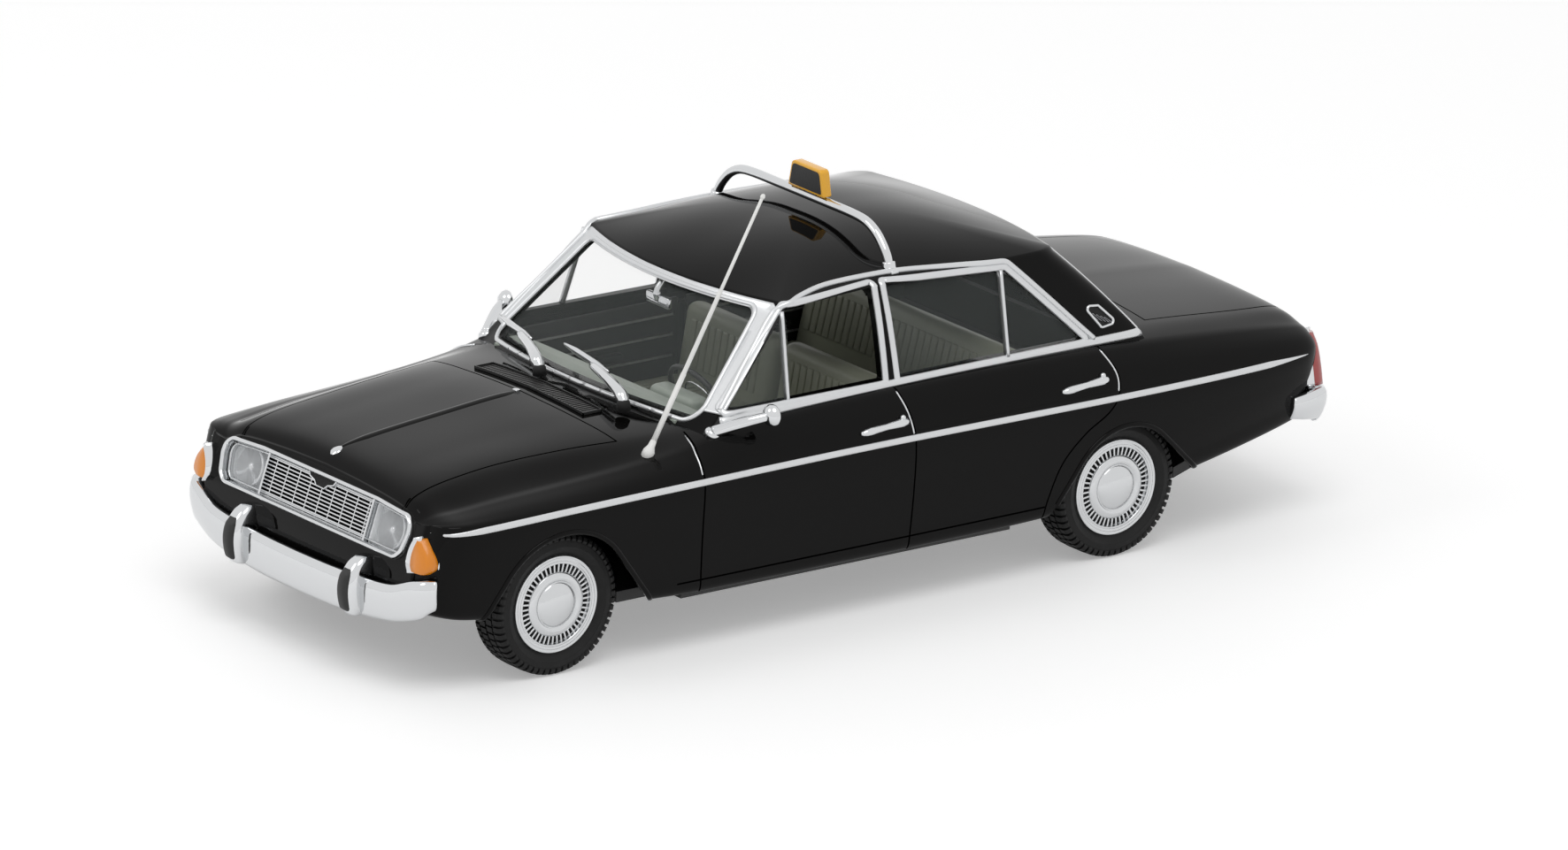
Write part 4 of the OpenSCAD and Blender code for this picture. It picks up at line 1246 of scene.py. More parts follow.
# %% [markdown]
# ## Pillar band
#
# Beside and above the windscreen the silver is one broad band, too wide and too curved for a
# strip. It is a thin slice of the cabin form, cut to the pillars from the front and the side.

# %% Pillar band
def shell(name, outer, inner):
    """A thin skin between two insets of the cabin form."""
    made = cabin(name, outer)
    return boolean(made, cabin("inner", inner))


def kept(obj, tool):
    """What the object shares with the tool."""
    return boolean(obj, tool, "INTERSECT")


band = shell("screen band", -0.1, 0.1)
BAND_FRONT = [(-17.6, 20.7), (17.6, 20.7), (16.6, 27.0), (13.6, 28.95), (-13.6, 28.95), (-16.6, 27.0)]
BAND_SIDE = [(12.9, 20.3), (4.1, 29.1), (3.4, 29.5), (30, 29.5), (30, 20.3)]
kept(band, prism("band edge", BAND_FRONT, "x", -2, 22))
kept(band, prism("band side", BAND_SIDE, "y", -20, 20))
boolean(band, prism("band hole", screen_outline(0.02), "x", -4, 24))
auto_smooth(painted(band, silver), 30)
print(f"screen band {volume(band) * 1e9:.2f} mm3")
trim_and_gap_highlights.append(band)
dress(joined("bright trim", trim_and_gap_highlights), "model", "bright_trim")

# %% [markdown]
# ## Panes
#
# The windows are one thin clear moulding pressed in from below. Each pane is a piece of the
# cabin form a little under the skin, cut to its opening, so it follows the pillars' lean. The
# front side windows are left open.

# %% Glass
def pane(name, node, *outlines):
    """One finished piece of glass, cut from the cabin form to each outline."""
    parts = []
    for outline, axis, low, high in outlines:
        part = shell(name, 0.3, 0.6)
        kept(part, prism("edge", outline, axis, low, high))
        parts.append(part)
    made = painted(joined(name, parts), glass)
    return dress(auto_smooth(made, 30), "model", "clear", node)


pane("windscreen pane", "windscreen", (screen_outline(0.3), "x", -2, 22))
pane("rear pane", "rear_window", (puffed(BACK_SCREEN, SCREEN_R + 0.3), "x", -44, -18))
QUARTER = [[11.0, 21.5], [4.9, 27.4], [5.6, 21.4]]
for name, node, outline in (("rear side panes", "rear_side_glass", window(REAR_OPENING, 0.3)),
                            ("quarter panes", "quarter_lights", window(QUARTER, 0.1))):
    pane(name, node, (outline, "y", 8, 21), (outline, "y", -21, -8))
discard(upper)

# %% [markdown]
# ## Nose
#
# The grille, the lamps and their shared bright surround are drawn upright and carried onto
# the leaning nose. The bars are one thin block stamped up the nose, and the uprights one that
# is stamped across it. The shield in the middle of the grille is left blank.

# %% Surround and grille
NOSE_UP = (-math.sin(NOSE_LEAN), 0.0, math.cos(NOSE_LEAN))
NOSE_OUT = (math.cos(NOSE_LEAN), 0.0, math.sin(NOSE_LEAN))


def on_nose_loop(outline, x):
    """A closed outline on the nose at depth x, with its normals."""
    outline = resample(np.vstack([outline, outline[:1]]), 0.5)[:-1]
    points = on_nose(np.column_stack([np.full(len(outline), x), outline]))
    return points, np.tile(NOSE_OUT, (len(points), 1))


def nose_block(name, low, high, material):
    """A box in the nose's leaning frame."""
    (x0, y0, z0), (x1, y1, z1) = low, high
    return nose_prism(name, [(y0, z0), (y1, z0), (y1, z1), (y0, z1)], x0, x1, material)


outer_loop = on_nose_loop(rounded(shrunk(lamp_opening(), 0.0), 1.0), -0.35)
lip_loop = on_nose_loop(rounded(shrunk(lamp_opening(), 0.42), 0.75), -0.75)
rim = [strip("surround", outer_loop, half_round(0.48, 0.5, 0.6), chrome, closed=True),
       strip("surround lip", lip_loop, half_round(0.22, 0.2, 0.3), chrome, closed=True)]
GRILLE_HALF = 7.9
for side in (-1, 1):
    rim.append(nose_block("lamp divider", (-1.4, side * GRILLE_HALF - 0.13, 12.1),
                          (-0.3, side * GRILLE_HALF + 0.13, 16.3), chrome))
dress(joined("lamp surround", rim), "model", "bright_trim", "lamp_surround")

BAR_LOW, BAR_HIGH, BAR_COUNT = 12.32, 16.1, 12
bar_pitch = (BAR_HIGH - BAR_LOW) / (BAR_COUNT - 1)
bars = nose_block("grille bars", (-1.5, -GRILLE_HALF, BAR_LOW), (-0.62, GRILLE_HALF, BAR_LOW + 0.12), chrome)
repeat(bars, BAR_COUNT, chrome, step=np.array(NOSE_UP) * bar_pitch)
upright_y = GRILLE_HALF * 8 / 9
uprights = nose_block("grille uprights", (-1.5, -upright_y - 0.06, BAR_LOW),
                      (-0.72, -upright_y + 0.06, 16.3), chrome)
repeat(uprights, 9, chrome, step=(0, upright_y / 4, 0))
back = nose_block("grille back", (-2.6, -GRILLE_HALF, 12.0), (-1.75, GRILLE_HALF, 16.4), void)
half_shield = [(2.3, 16.6), (1.75, 15.75), (1.0, 15.55), (0.6, 15.15)]
SHIELD = [(-y, z) for y, z in half_shield] + half_shield[::-1]
shield = nose_prism("shield", SHIELD, -1.2, -0.5, void)
shield_line = on_nose(np.column_stack([np.full(len(SHIELD), -0.5), SHIELD]))
shield_edge = sweep("shield edge", shield_line, np.tile(NOSE_OUT, (len(SHIELD), 1)),
                    half_round(0.16, 0.12, 0.3), chrome)
grille = joined("grille", [bars, uprights, back, shield, shield_edge])
dress(grille, "model", "grille_metal", "grille")

# %% [markdown]
# ## Headlamps
#
# Each headlamp is a pale bowl with a round reflector and a bulb behind a clear cover, whose
# outline is square at the grille and rounded at the wing. A flat silver plate would look dull:
# it is the bowl's depth behind the cover that makes a lamp sparkle.

# %% Headlamps
LAMP_SHAPE = [(8.1, 16.25), (13.05, 15.9), (13.7, 15.4), (13.8, 14.6), (13.4, 13.0), (12.8, 12.4), (8.1, 12.1)]
LAMP_CORNERS = [0.4, 0.5, 0.4, 0.5, 0.5, 0.5, 0.4]


def headlamp():
    """The left lamp's bowl with its wall, round reflector and bulb."""
    wall_loop = on_nose_loop(rounded(shrunk(LAMP_SHAPE, 0.12), 0.35), -1.2)
    centre = on_nose(np.array([-1.25, 10.75, 14.2]))
    return joined("headlamp inside", [
        nose_prism("bowl back", rounded(LAMP_SHAPE, LAMP_CORNERS), -2.2, -1.45, bowl),
        strip("bowl wall", wall_loop, flat_bar(0.2, 0.5, 0.4), bowl, closed=True),
        revolve("reflector", [(1.72, 0.5), (1.6, 0.46), (1.2, 0.2), (0.6, 0.05), (0.6, -0.05), (1.82, -0.05),
                              (1.82, 0.46)], centre, NOSE_OUT, silver, 64),
        revolve("bulb", [(0, 0.34), (0.5, 0.3), (0.58, 0.05), (0, 0.05)], centre, NOSE_OUT, dark_chrome, 32),
        revolve("bulb tip", [(0, 0.5), (0.2, 0.46), (0.3, 0.3), (0, 0.3)], centre, NOSE_OUT, bowl, 24),
    ])


def lens_cover():
    """A gently domed clear cover."""
    rings = []
    base = shrunk(LAMP_SHAPE, 0.05)
    middle_point = np.mean(base, axis=0)
    outline = rounded(base, LAMP_CORNERS)
    for shrink_by, x in ((1.0, -1.2), (1.0, -0.72), (0.96, -0.58), (0.8, -0.5), (0.5, -0.43), (0.15, -0.4)):
        ring = middle_point + (outline - middle_point) * shrink_by
        rings.append(on_nose(np.column_stack([np.full(len(ring), x), ring])))
    return loft("headlamp lens", rings, lens)


for side, node in ((1, "headlamp_left"), (-1, "headlamp_right")):
    inside, cover = headlamp(), lens_cover()
    if side < 0:
        for part in (inside, cover):
            part.data.transform(Matrix.Scale(-1, 4, (0, 1, 0)))
            part.data.flip_normals()
    inside.name = node + "_inside"
    cover.name = node + "_lens"
    dress(inside, "model", "lamp_clear", node)
    dress(cover, "model", "lamp_clear")

# %% [markdown]
# ## Corner lamps
#
# The indicators and the tail lamps are wedges that wrap the corners and narrow to a tip, each
# in a bright bezel. Both are lofts of one plan, with its own width at each height.

# %% Corner lamps
# height, inner edge and outer edge, from the foot to the tip
INDICATOR_ROWS = [[11.6, 15.65, 17.3], [12.1, 15.35, 17.72], [13.0, 15.35, 17.6], [13.9, 15.65, 17.0],
                  [14.6, 16.05, 16.3]]
TAIL_ROWS = [[12.2, 15.2, 17.6], [14.0, 15.2, 17.5], [15.8, 15.3, 17.2], [16.9, 15.5, 16.6]]
CORNER_LEAN = 0.12
BEZEL = 0.14


def lens_ring(nose, inner, outer):
    """Plan of the lens: a rounded face with a side that wraps the corner."""
    end, wide = nose - 1.55, outer + 0.12
    return [[end, inner], [nose - 0.1, inner], [nose, inner + 0.12], [nose + 0.02, (inner + outer) / 2],
            [nose - 0.12, wide - 0.35], [nose - 0.36, wide - 0.08], [nose - 0.8, wide], [end, wide]]


def bezel_ring(nose, inner, outer):
    """Plan of the bright bezel, which stands out beside the lens."""
    end, wide = nose - 2.2, outer + 0.2
    return [[end, inner - BEZEL], [nose + 0.25, inner - BEZEL], [nose + 0.25, inner], [nose - 0.3, inner + 0.4],
            [nose - 0.6, outer - 0.2], [nose - 1.3, outer], [nose - 1.4, wide], [end, wide]]


def corner_lamp(name, rows, face, ahead, material, plan, grow=0.0):
    """A wedge lamp wrapped round the corner, from its lower edge to its tip."""
    rings = []
    line = smooth(rows, 5)
    line[0, 0] -= grow
    line[-1, 0] += grow
    for z, inner, outer in line:
        nose = face - CORNER_LEAN * (z - rows[0][0])
        rings.append([[ahead * x, y, z] for x, y in plan(nose, inner, outer)])
    return auto_smooth(loft(name, rings, material), 45)


for rows, face, ahead, glow, slot, base in (
    (INDICATOR_ROWS, 45.9, 1, amber, "amber", "indicator_"),
    (TAIL_ROWS, 55.8, -1, red, "lamp_red", "tail_lamp_"),
):
    lamp = corner_lamp("lamp", rows, face, ahead, glow, lens_ring)
    bezel = corner_lamp("bezel", rows, face, ahead, chrome, bezel_ring, BEZEL)
    made = joined(base + "left_lens", [lamp, bezel])
    twin = mirrored(made, base + "right_lens")
    dress(made, "model", slot, base + "left")
    dress(twin, "model", slot, base + "right")

# %% [markdown]
# ## Bumpers
#
# The bumpers are plated mouldings. A blade is a loft of one rounded section that bends round
# the corners while its edges rise, and the front one carries two overriders with rubber pads.

# %% Bumpers
# distance from the middle, reach, lower edge and upper edge
FRONT_BLADE = [[0, 47.4, 5.5, 9.3], [5, 47.35, 5.55, 9.35], [9.5, 47.15, 5.8, 9.5], [13.5, 46.9, 6.3, 9.85],
               [16.2, 46.5, 7.0, 10.8], [17.6, 46.1, 7.6, 11.1], [18.5, 45.4, 8.3, 11.2]]
REAR_BLADE = [[0, 57.3, 8.1, 11.7], [6, 57.2, 8.1, 11.7], [12, 56.8, 8.3, 11.9], [16, 56.5, 8.5, 12.0],
              [18.15, 55.7, 8.7, 12.05], [18.75, 54.4, 9.0, 12.05], [18.9, 53.0, 9.2, 11.9],
              [18.75, 51.7, 9.4, 11.7]]
OVERRIDER_Y = 8.7


def blade(name, table, ahead, depth, tuck):
    """A bumper blade; its thickness follows the bend, and its lower edge tucks under."""
    half = smooth(table, 8)
    full = np.vstack([half[:0:-1] * [-1, 1, 1, 1], half])
    bend = np.gradient(full[:, :2], axis=0)
    bend /= np.linalg.norm(bend, axis=1)[:, None]
    shape = [(-depth, 0.06), (-0.55, 0.0), (-0.25, 0.02), (-0.08, 0.12), (0.0, 0.3), (0.02, 0.52),
             (-0.02, 0.72), (-0.14, 0.88), (-0.36, 0.98), (-0.6, 1.0), (-depth, 0.95), (-depth + 0.05, 0.5)]
    rings = []
    for (y, x, low, high), (along_y, along_x) in zip(full, bend):
        ring = []
        for out, u in shape:
            out = out - tuck * (1 - u) ** 2 * (out > -0.9)
            ring.append([ahead * (x + out * along_y), y - out * along_x, low + (high - low) * u])
        rings.append(ring)
    rings = np.array(rings)
    centre = rings[-1].mean(axis=0)
    step = (rings[-1] - rings[-2]).mean(axis=0)
    step = step / np.linalg.norm(step)
    ends = [centre + (rings[-1] - centre) * s + step * d for s, d in ((0.97, 0.1), (0.86, 0.2), (0.6, 0.26))]
    other = [e * [1, -1, 1] for e in ends[::-1]]
    return auto_smooth(loft(name, [*other, *rings, *ends], chrome), 50)


def pillow(name, rows, y, material):
    """An upright soft block from rows of height, half width, front and rear."""
    count = 28
    power = 2 / 3.0
    w = 2 * math.pi * np.arange(count) / count
    c, s = np.cos(w), np.sin(w)
    rings = []
    for z, half, front, rear in smooth(rows, 4):
        middle_x, reach = (front + rear) / 2, (front - rear) / 2
        rings.append(np.column_stack([
            middle_x + reach * np.sign(c) * np.abs(c) ** power,
            y + half * np.sign(s) * np.abs(s) ** power,
            np.full(count, z),
        ]))
    return auto_smooth(loft(name, rings, material), 50)


OVERRIDER = [[5.8, 0.6, 47.1, 45.8], [6.05, 0.9, 47.6, 45.5], [7.0, 1.08, 48.0, 45.3], [8.5, 1.12, 48.15, 45.2],
             [9.8, 1.06, 47.85, 45.1], [10.7, 0.92, 47.2, 45.0], [11.15, 0.6, 46.6, 45.2]]
PAD = [[6.3, 0.45, 47.8, 46.9], [6.65, 0.64, 48.2, 46.9], [8.3, 0.7, 48.5, 46.9], [9.6, 0.66, 48.25, 46.9],
       [10.2, 0.48, 47.8, 46.9]]


def bumper_arm(y, low, high):
    """The arm that carries a blade, from its lengths and heights."""
    return block("arm", (low[0], y - 0.8, low[1]), (high[0], y + 0.8, high[1]), black)


front_parts = [blade("front blade", FRONT_BLADE, 1, 1.2, 0.35)]
rear_parts = [blade("rear blade", REAR_BLADE, -1, 1.5, 0.8)]
pads = []
for y in (OVERRIDER_Y, -OVERRIDER_Y):
    front_parts.append(pillow("overrider", OVERRIDER, y, chrome))
    front_parts.append(bumper_arm(y, (43.6, 8.6), (46.6, 9.6)))
    rear_parts.append(bumper_arm(y, (-56.8, 10.4), (-53.9, 11.5)))
    pads.append(pillow("pad", PAD, y, pad))
dress(joined("front bumper bright", front_parts), "model", "bright_trim", "front_bumper")
dress(joined("overrider rubbers", pads), "model", "pad_rubber", "overrider_pads")
dress(joined("rear bumper bright", rear_parts), "model", "bright_trim", "rear_bumper")

# %% [markdown]
# ## Number plate, emblem and bonnet crease
#
# The rear plate is blank. A raised crease runs up the bonnet, with a small bright emblem at
# its foot and a pip at its top, so it is a low sweep laid on the skin.

# %% Number plate, emblem and bonnet crease
plate = joined("blank plate", [
    block("plate", (-55.75, -5.8, 11.65), (-55.3, 5.8, 14.75), plate_white, 0.12),
    block("plate back", (-55.62, -6.0, 11.5), (-54.9, 6.0, 14.9), black, 0.1),
])
dress(plate, "model", "plate_white", "number_plate")

EMBLEM_ROWS = ((43.3, 0.3, 0.14), (43.05, 0.62, 0.22), (42.75, 0.66, 0.26), (42.45, 0.48, 0.24),
               (42.1, 0.12, 0.14))
EMBLEM_ARCH = ((-1, 0), (-0.8, 0.6), (-0.35, 1), (0.35, 1), (0.8, 0.6), (1, 0))
pip = []
for x, half, tall in EMBLEM_ROWS:
    at, up = (np.array(v) for v in skin.hit(Vector((x, 0, 40)), (0, 0, -1)))
    across = np.array([0, 1, 0])
    pip.append([at + across * half * c + up * (tall * s - 0.12) for c, s in EMBLEM_ARCH])
dress(auto_smooth(loft("emblem", pip, chrome), 40), "model", "bright_trim", "bonnet_emblem")
CREASE = [[0.62, -0.1], [0.5, 0.0], [0.12, 0.13], [-0.12, 0.13], [-0.5, 0.0], [-0.62, -0.1]]
crease_line = from_above([(42.6, 0.001), (22.8, 0.001)], 0.6)
crease = strip("crease", crease_line, CREASE, enamel, scale=taper(crease_line[0], 3, 1.5, 0.3))
tip_at = np.array(skin.hit(Vector((22.95, 0, 40)), (0, 0, -1))[0])
tip = block("crease tip", tip_at - [0.25, 0.3, 0.1], tip_at + [0.25, 0.3, 0.22], chrome, 0.08)
dress(joined("bonnet crease", [crease, tip]), "model", "black_enamel")

# %% [markdown]
# ## Cowl grille
#
# The air intake ahead of the windscreen is a shallow tray of fine ribs. It is drawn flat and
# then dropped onto the curved deck, corner by corner, which keeps its heights and bends it
# with the bodywork.

# %% Cowl grille
def draped(obj, level_z):
    """Drops a flat-drawn piece onto the deck, keeping its heights above level_z."""
    for v in obj.data.vertices:
        at = skin.hit(Vector((v.co.x / MM - SHIFT, v.co.y / MM, 60)), (0, 0, -1))
        if at:
            v.co.z += (at[0].z - level_z) * MM
    obj.data.update()
    return obj


COWL_FRONT, COWL_REAR, COWL_HALF, COWL_TILE = 21.6, 19.5, 8.2, 0.82
rib = block("ribs", (COWL_REAR + 0.12, -8.1, 20.0), (COWL_FRONT - 0.12, -7.95, 20.14), rib_black)
cowl_parts = [repeat(rib, 41, rib_black, step=(0, 0.4028, 0))]
# the tray and its rims are short tiles, so that they bend with the deck
tile_starts = np.arange(-COWL_HALF, COWL_HALF - 0.1, COWL_TILE)
for y in tile_starts:
    cowl_parts.append(block("tray", (COWL_REAR, y, 19.8), (COWL_FRONT, y + COWL_TILE, 20.05), void))
for x in (COWL_REAR, COWL_FRONT - 0.1):
    for y in tile_starts:
        cowl_parts.append(block("rim", (x, y, 19.9), (x + 0.1, y + COWL_TILE, 20.28), black))
for y in (-COWL_HALF, COWL_HALF - 0.1):
    cowl_parts.append(block("rim end", (COWL_REAR, y, 19.9), (COWL_FRONT, y + 0.1, 20.28), black))
dress(draped(joined("cowl ribs", cowl_parts), 20.0), "model", "trim_black", "cowl_grille")

# %% [markdown]
# ## Wipers
#
# Each wiper is a boss, a cranked arm and a slim blade that lies along the glass. The arm is a
# rod whose thickness changes along its length, and the blade is a sweep.

# %% Wipers
# name, pivot, end of the arm, tip and heel of the blade
WIPERS = (
    ("wiper_left", (18.2, 9.7, 20.2), (15.95, 1.9, 21.85), (15.2, -3.3, 22.35), (15.85, 4.2, 21.85)),
    ("wiper_right", (18.6, -2.4, 20.3), (15.6, -9.4, 21.7), (13.9, -14.6, 21.6), (15.7, -7.6, 21.75)),
)
WIPER_BOSS = [(0, 1.0), (0.42, 0.95), (0.6, 0.7), (0.66, 0), (0, 0)]
for name, pivot, arm_end, tip, heel in WIPERS:
    pivot, arm_end, tip, heel = (np.array(p) for p in (pivot, arm_end, tip, heel))
    elbow = pivot + [-0.2, -0.8, 1.25]
    halfway = pivot * 0.5 + arm_end * 0.5 + [0, 0, 0.75]
    arm_line = smooth([pivot + [0, 0, 0.6], elbow, halfway, arm_end], 8)
    radii = np.interp(np.linspace(0, 1, len(arm_line)), [0, 0.2, 0.5, 1], [0.5, 0.6, 0.52, 0.36])
    blade_line = np.linspace(heel, tip, 24)
    off = np.tile([0.64, 0.0, 0.77], (24, 1))
    made = joined(name + "_arm", [
        revolve("boss", WIPER_BOSS, pivot, (0.1, 0, 1), void, 40),
        tube("arm", arm_line, radii, chrome, 18),
        sweep("blade holder", blade_line, off, half_round(0.6, 0.42, 0.08), chrome,
              scale=taper(blade_line, 2.0, 2.0, 0.4)),
        sweep("blade rubber", blade_line - off * 0.14, off, flat_bar(0.16, 0.12, 0.1), void),
    ])
    dress(made, "model", "bright_trim", name)

# %% [markdown]
# ## Mirrors, handles and vents
#
# These are separate plated parts on the doors and the rear pillars. The mirror head is turned,
# the handles are sweeps that swell and thin along their length, and the vents are outlines laid
# on the pillar with five fins across them.

# %% Mirrors, handles and vents
MIRROR_HEAD = [(0, 0.62), (0.35, 0.58), (0.7, 0.42), (0.95, 0.12), (1.04, -0.16), (1.0, -0.3), (0.9, -0.34),
               (0.86, -0.26), (0, -0.26)]
MIRROR_FOOT = [(0, 0.35), (0.5, 0.3), (0.72, 0.1), (0.78, -0.4), (0, -0.4)]
mirror_line = smooth([(13.7, 17.1, 19.35), (12.6, 18.0, 19.9), (11.2, 19.1, 20.5), (9.9, 19.9, 20.9)], 8)
door_mirror = joined("door mirror left side", [
    tube("mirror arm", mirror_line, np.linspace(0.58, 0.42, len(mirror_line)), chrome, 20),
    revolve("mirror head", MIRROR_HEAD, (9.55, 19.98, 20.95), (1, 0.12, 0.05), chrome, 48),
    revolve("mirror foot", MIRROR_FOOT, (13.75, 17.05, 19.3), (-0.2, 0.5, 1), chrome, 40),
])
dress(mirrored(door_mirror, "door mirror right side"), "model", "bright_trim", "door_mirror_right")
dress(door_mirror, "model", "bright_trim", "door_mirror_left")

BUTTON = [(0, 0.55), (0.2, 0.5), (0.28, 0.35), (0.3, -0.1), (0, -0.1)]
handles = []
for x in (-3.6, -26.4):
    line = from_side([(x + 2.7, 17.3), (x + 0.9, 17.42), (x - 2.7, 17.6)], 0.3)
    reach = np.linspace(0, 1, len(line[0]))
    scale = np.interp(reach, [0, 0.08, 0.2, 0.55, 0.85, 0.96, 1], [0.35, 0.75, 0.9, 0.75, 1.0, 0.8, 0.4])
    handles.append(strip("grip", line, half_round(0.92, 0.66, 0.2, 12), chrome, scale=scale))
    at, out = skin.hit(Vector((x - 2.0, 60, 17.95)), (0, -1, 0))
    handles.append(revolve("button", BUTTON, at, out, chrome, 32))
dress(joined("door handle set", with_twins(handles)), "model", "bright_trim", "door_handles")

VENT = [[-28.45, 23.75], [-30.1, 23.55], [-31.95, 21.8], [-30.2, 21.6]]
vent_loop = loop_on(lambda p: from_side(p, 0.2), puffed(shrunk(VENT, 0.3), 0.3, 8))
vent_face, vent_out = from_side(puffed(shrunk(VENT, 0.35), 0.2, 8), 0.2)
vent_parts = [
    strip("vent frame", vent_loop, half_round(0.3, 0.24), chrome, closed=True),
    loft("vent panel", [vent_face - vent_out * 0.15, vent_face + vent_out * 0.05], void, soft=False),
]
for k in range(5):
    x = -29.15 - 0.42 * k
    fin = from_side([(x + 0.2, 23.15 - 0.18 * k), (x - 0.75, 22.25 - 0.12 * k)], 0.2)
    vent_parts.append(strip("fin", fin, half_round(0.13, 0.16), dark_chrome))
dress(joined("vents", with_twins(vent_parts)), "model", "bright_trim", "pillar_vents")

# %% [markdown]
# ## Aerial, roof bar and sign
#
# The aerial is a stepped rod that leans back. The roof bar bends over the roof on two feet and
# carries the sign, a yellow housing with a plain black panel on each face. The panels are blank.

# %% Aerial, roof bar and sign
foot, head = np.array([20.45, 16.3, 18.1]), np.array([8.25, 16.3, 40.3])
along = (head - foot) / np.linalg.norm(head - foot)
rod = [foot + along * d for d in (0, 8, 8.01, 16, 16.01, 25.0, 25.3)]
AERIAL_TIP = [(0, 0.3), (0.16, 0.22), (0.24, 0), (0.16, -0.2), (0, -0.28)]
AERIAL_FOOT = [(0, 1.5), (0.28, 1.45), (0.34, 0.9), (0.55, 0.45), (0.6, -0.3), (0, -0.3)]
aerial = joined("aerial mast", [
    tube("rod", rod, [0.26, 0.25, 0.21, 0.2, 0.16, 0.15, 0.08], aerial_white, 20),
    revolve("aerial tip", AERIAL_TIP, foot + along * 25.2, along, aerial_white, 24),
    revolve("aerial foot", AERIAL_FOOT, foot, along, aerial_white, 32),
])
dress(aerial, "model", "bright_trim", "aerial")

BAR_X = -8.8
bar_half = smooth([(0, 33.45), (4, 33.45), (7.6, 33.42), (9.4, 33.22), (10.8, 32.6), (11.9, 31.6),
                   (12.6, 30.6), (12.95, 29.5)], 8)
bar = np.vstack([bar_half[:0:-1] * [-1, 1], bar_half])
BAR_FOOT = [(0, 0.75), (0.56, 0.72), (0.62, 0.6), (0.62, 0.2), (0.72, 0.1), (0.72, -0.2), (0, -0.2)]
bar_parts = [tube("bar", np.column_stack([np.full(len(bar), BAR_X), bar]), 0.43, chrome, 32)]
for side in (1, -1):
    clip_y = side * 13.5
    at, up = (BAR_X, side * 12.9, 29.65), (0, side * -0.2, 1)
    bar_parts.append(revolve("bar foot", BAR_FOOT, at, up, chrome, 40))
    low, high = (BAR_X - 0.45, clip_y - 0.35, 29.35), (BAR_X + 0.45, clip_y + 0.35, 29.8)
    bar_parts.append(block("bar clip", low, high, chrome, 0.12))
dress(joined("roof bar tube", bar_parts), "model", "bright_trim", "roof_bar")

(sign_rear, sign_right, sign_z), (sign_front, sign_left, sign_top) = (
    np.array(corner) / MM - [SHIFT, 0, 0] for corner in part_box("taxi_sign"))
mid_y = (sign_right + sign_left) / 2
half_y = (sign_left - sign_right) / 2
SIGN_TAPER = 0.5


def sign_outline(inset):
    """The sign from in front: a low trapezium with rounded upper corners."""
    corners = [(mid_y - half_y, sign_z), (mid_y + half_y, sign_z), (mid_y + half_y - SIGN_TAPER, sign_top),
               (mid_y - half_y + SIGN_TAPER, sign_top)]
    return rounded(shrunk(corners, inset), [0.12, 0.12, 0.45, 0.45], 8)


housing = bevelled(prism("housing", sign_outline(0), "x", sign_rear, sign_front, yellow), 0.12)
panel = prism("panel", sign_outline(0.24), "x", sign_rear - 0.03, sign_front + 0.03, black)
neck = block("neck", (sign_rear + 0.2, mid_y - 1.2, sign_z - 0.25),
             (sign_front - 0.2, mid_y + 1.2, sign_z + 0.1), black)
dress(joined("roof sign", [housing, panel, neck]), "model", "sign_yellow", "taxi_sign")

# %% [markdown]
# ## Arch lips and painted pillar highlights
#
# The arches end in a thin rolled lip, and a silver line runs down each rear pillar. Both are
# sweeps on the skin. The lip picks up a highlight where a plain edge would vanish in the black;
# the silver line is a painted highlight, standing for the light caught on the pillar's rounded edge.

# %% Arch lips and painted pillar highlights
def arch_lip(hub, outline, low):
    """The arch's edge above low, as a line from its front foot over the wheel to its rear one."""
    def round_hub(p):
        return (math.atan2(p[1] - HUB_Z, p[0] - hub) + math.pi / 2) % (2 * math.pi)

    closed = resample(np.vstack([outline, outline[:1]]), 0.5)
    return sorted((p for p in closed if p[1] > low), key=round_hub)


edges = []
for hub, outline, low in ((FRONT_HUB, FRONT_ARCH, 5.6), (REAR_HUB, REAR_ARCH, 6.2)):
    lip = from_side(arch_lip(hub, outline, low), 0.4)
    edges.append(strip("arch lip", lip, half_round(0.5, 0.17, 0.35), enamel))
# painted highlight: the silver line laid down each rear pillar's rounded corner stands for the light caught on
# that edge
roof_table = np.array(ROOF_ROWS)
corner_z = np.linspace(20.75, 28.7, 40)
corner_x, corner_y = (np.interp(corner_z, roof_table[:, 0], roof_table[:, k]) for k in (5, 6))
pillar = lay(np.column_stack([corner_x, corner_y, corner_z]), (0.5, -0.866, 0))
edges.append(strip("pillar line", pillar, half_round(0.2, 0.1), silver))
dress(joined("body edges", with_twins(edges)), "model", "black_enamel")

# %% [markdown]
# ## Wheels
#
# One left wheel is drawn about its hub: a tyre with block tread and a slotted silver cover.
# Blocks, slots and spokes are stamped round the hub. The right wheel is its mirror image, and
# each wheel rides on its axle.

# %% Tyre
TYRE_Y = 16.3
BLOCKS = 58
SPOKES = 46


def ring_of(unit, count, hub, material):
    """Stamps a unit evenly round the hub."""
    return repeat(unit, count, material, turn=(0, 2 * math.pi / count, 0), pivot=(hub, 0, HUB_Z))


def tread_row(hub, outline, half, offset=0.0):
    """A row of tread blocks from an outline of (radius, distance from the tyre's middle)."""
    shift = np.array([hub, TYRE_Y])
    unit = prism("tread", np.array(outline) + shift, "z", HUB_Z - half, HUB_Z + half, rubber)
    if offset:
        spin = Matrix.Rotation(offset * 2 * math.pi / BLOCKS, 4, "Y")
        centre = Matrix.Translation(Vector(place((hub, 0, HUB_Z))))
        unit.data.transform(centre @ spin @ centre.inverted())
    return ring_of(unit, BLOCKS, hub, rubber)


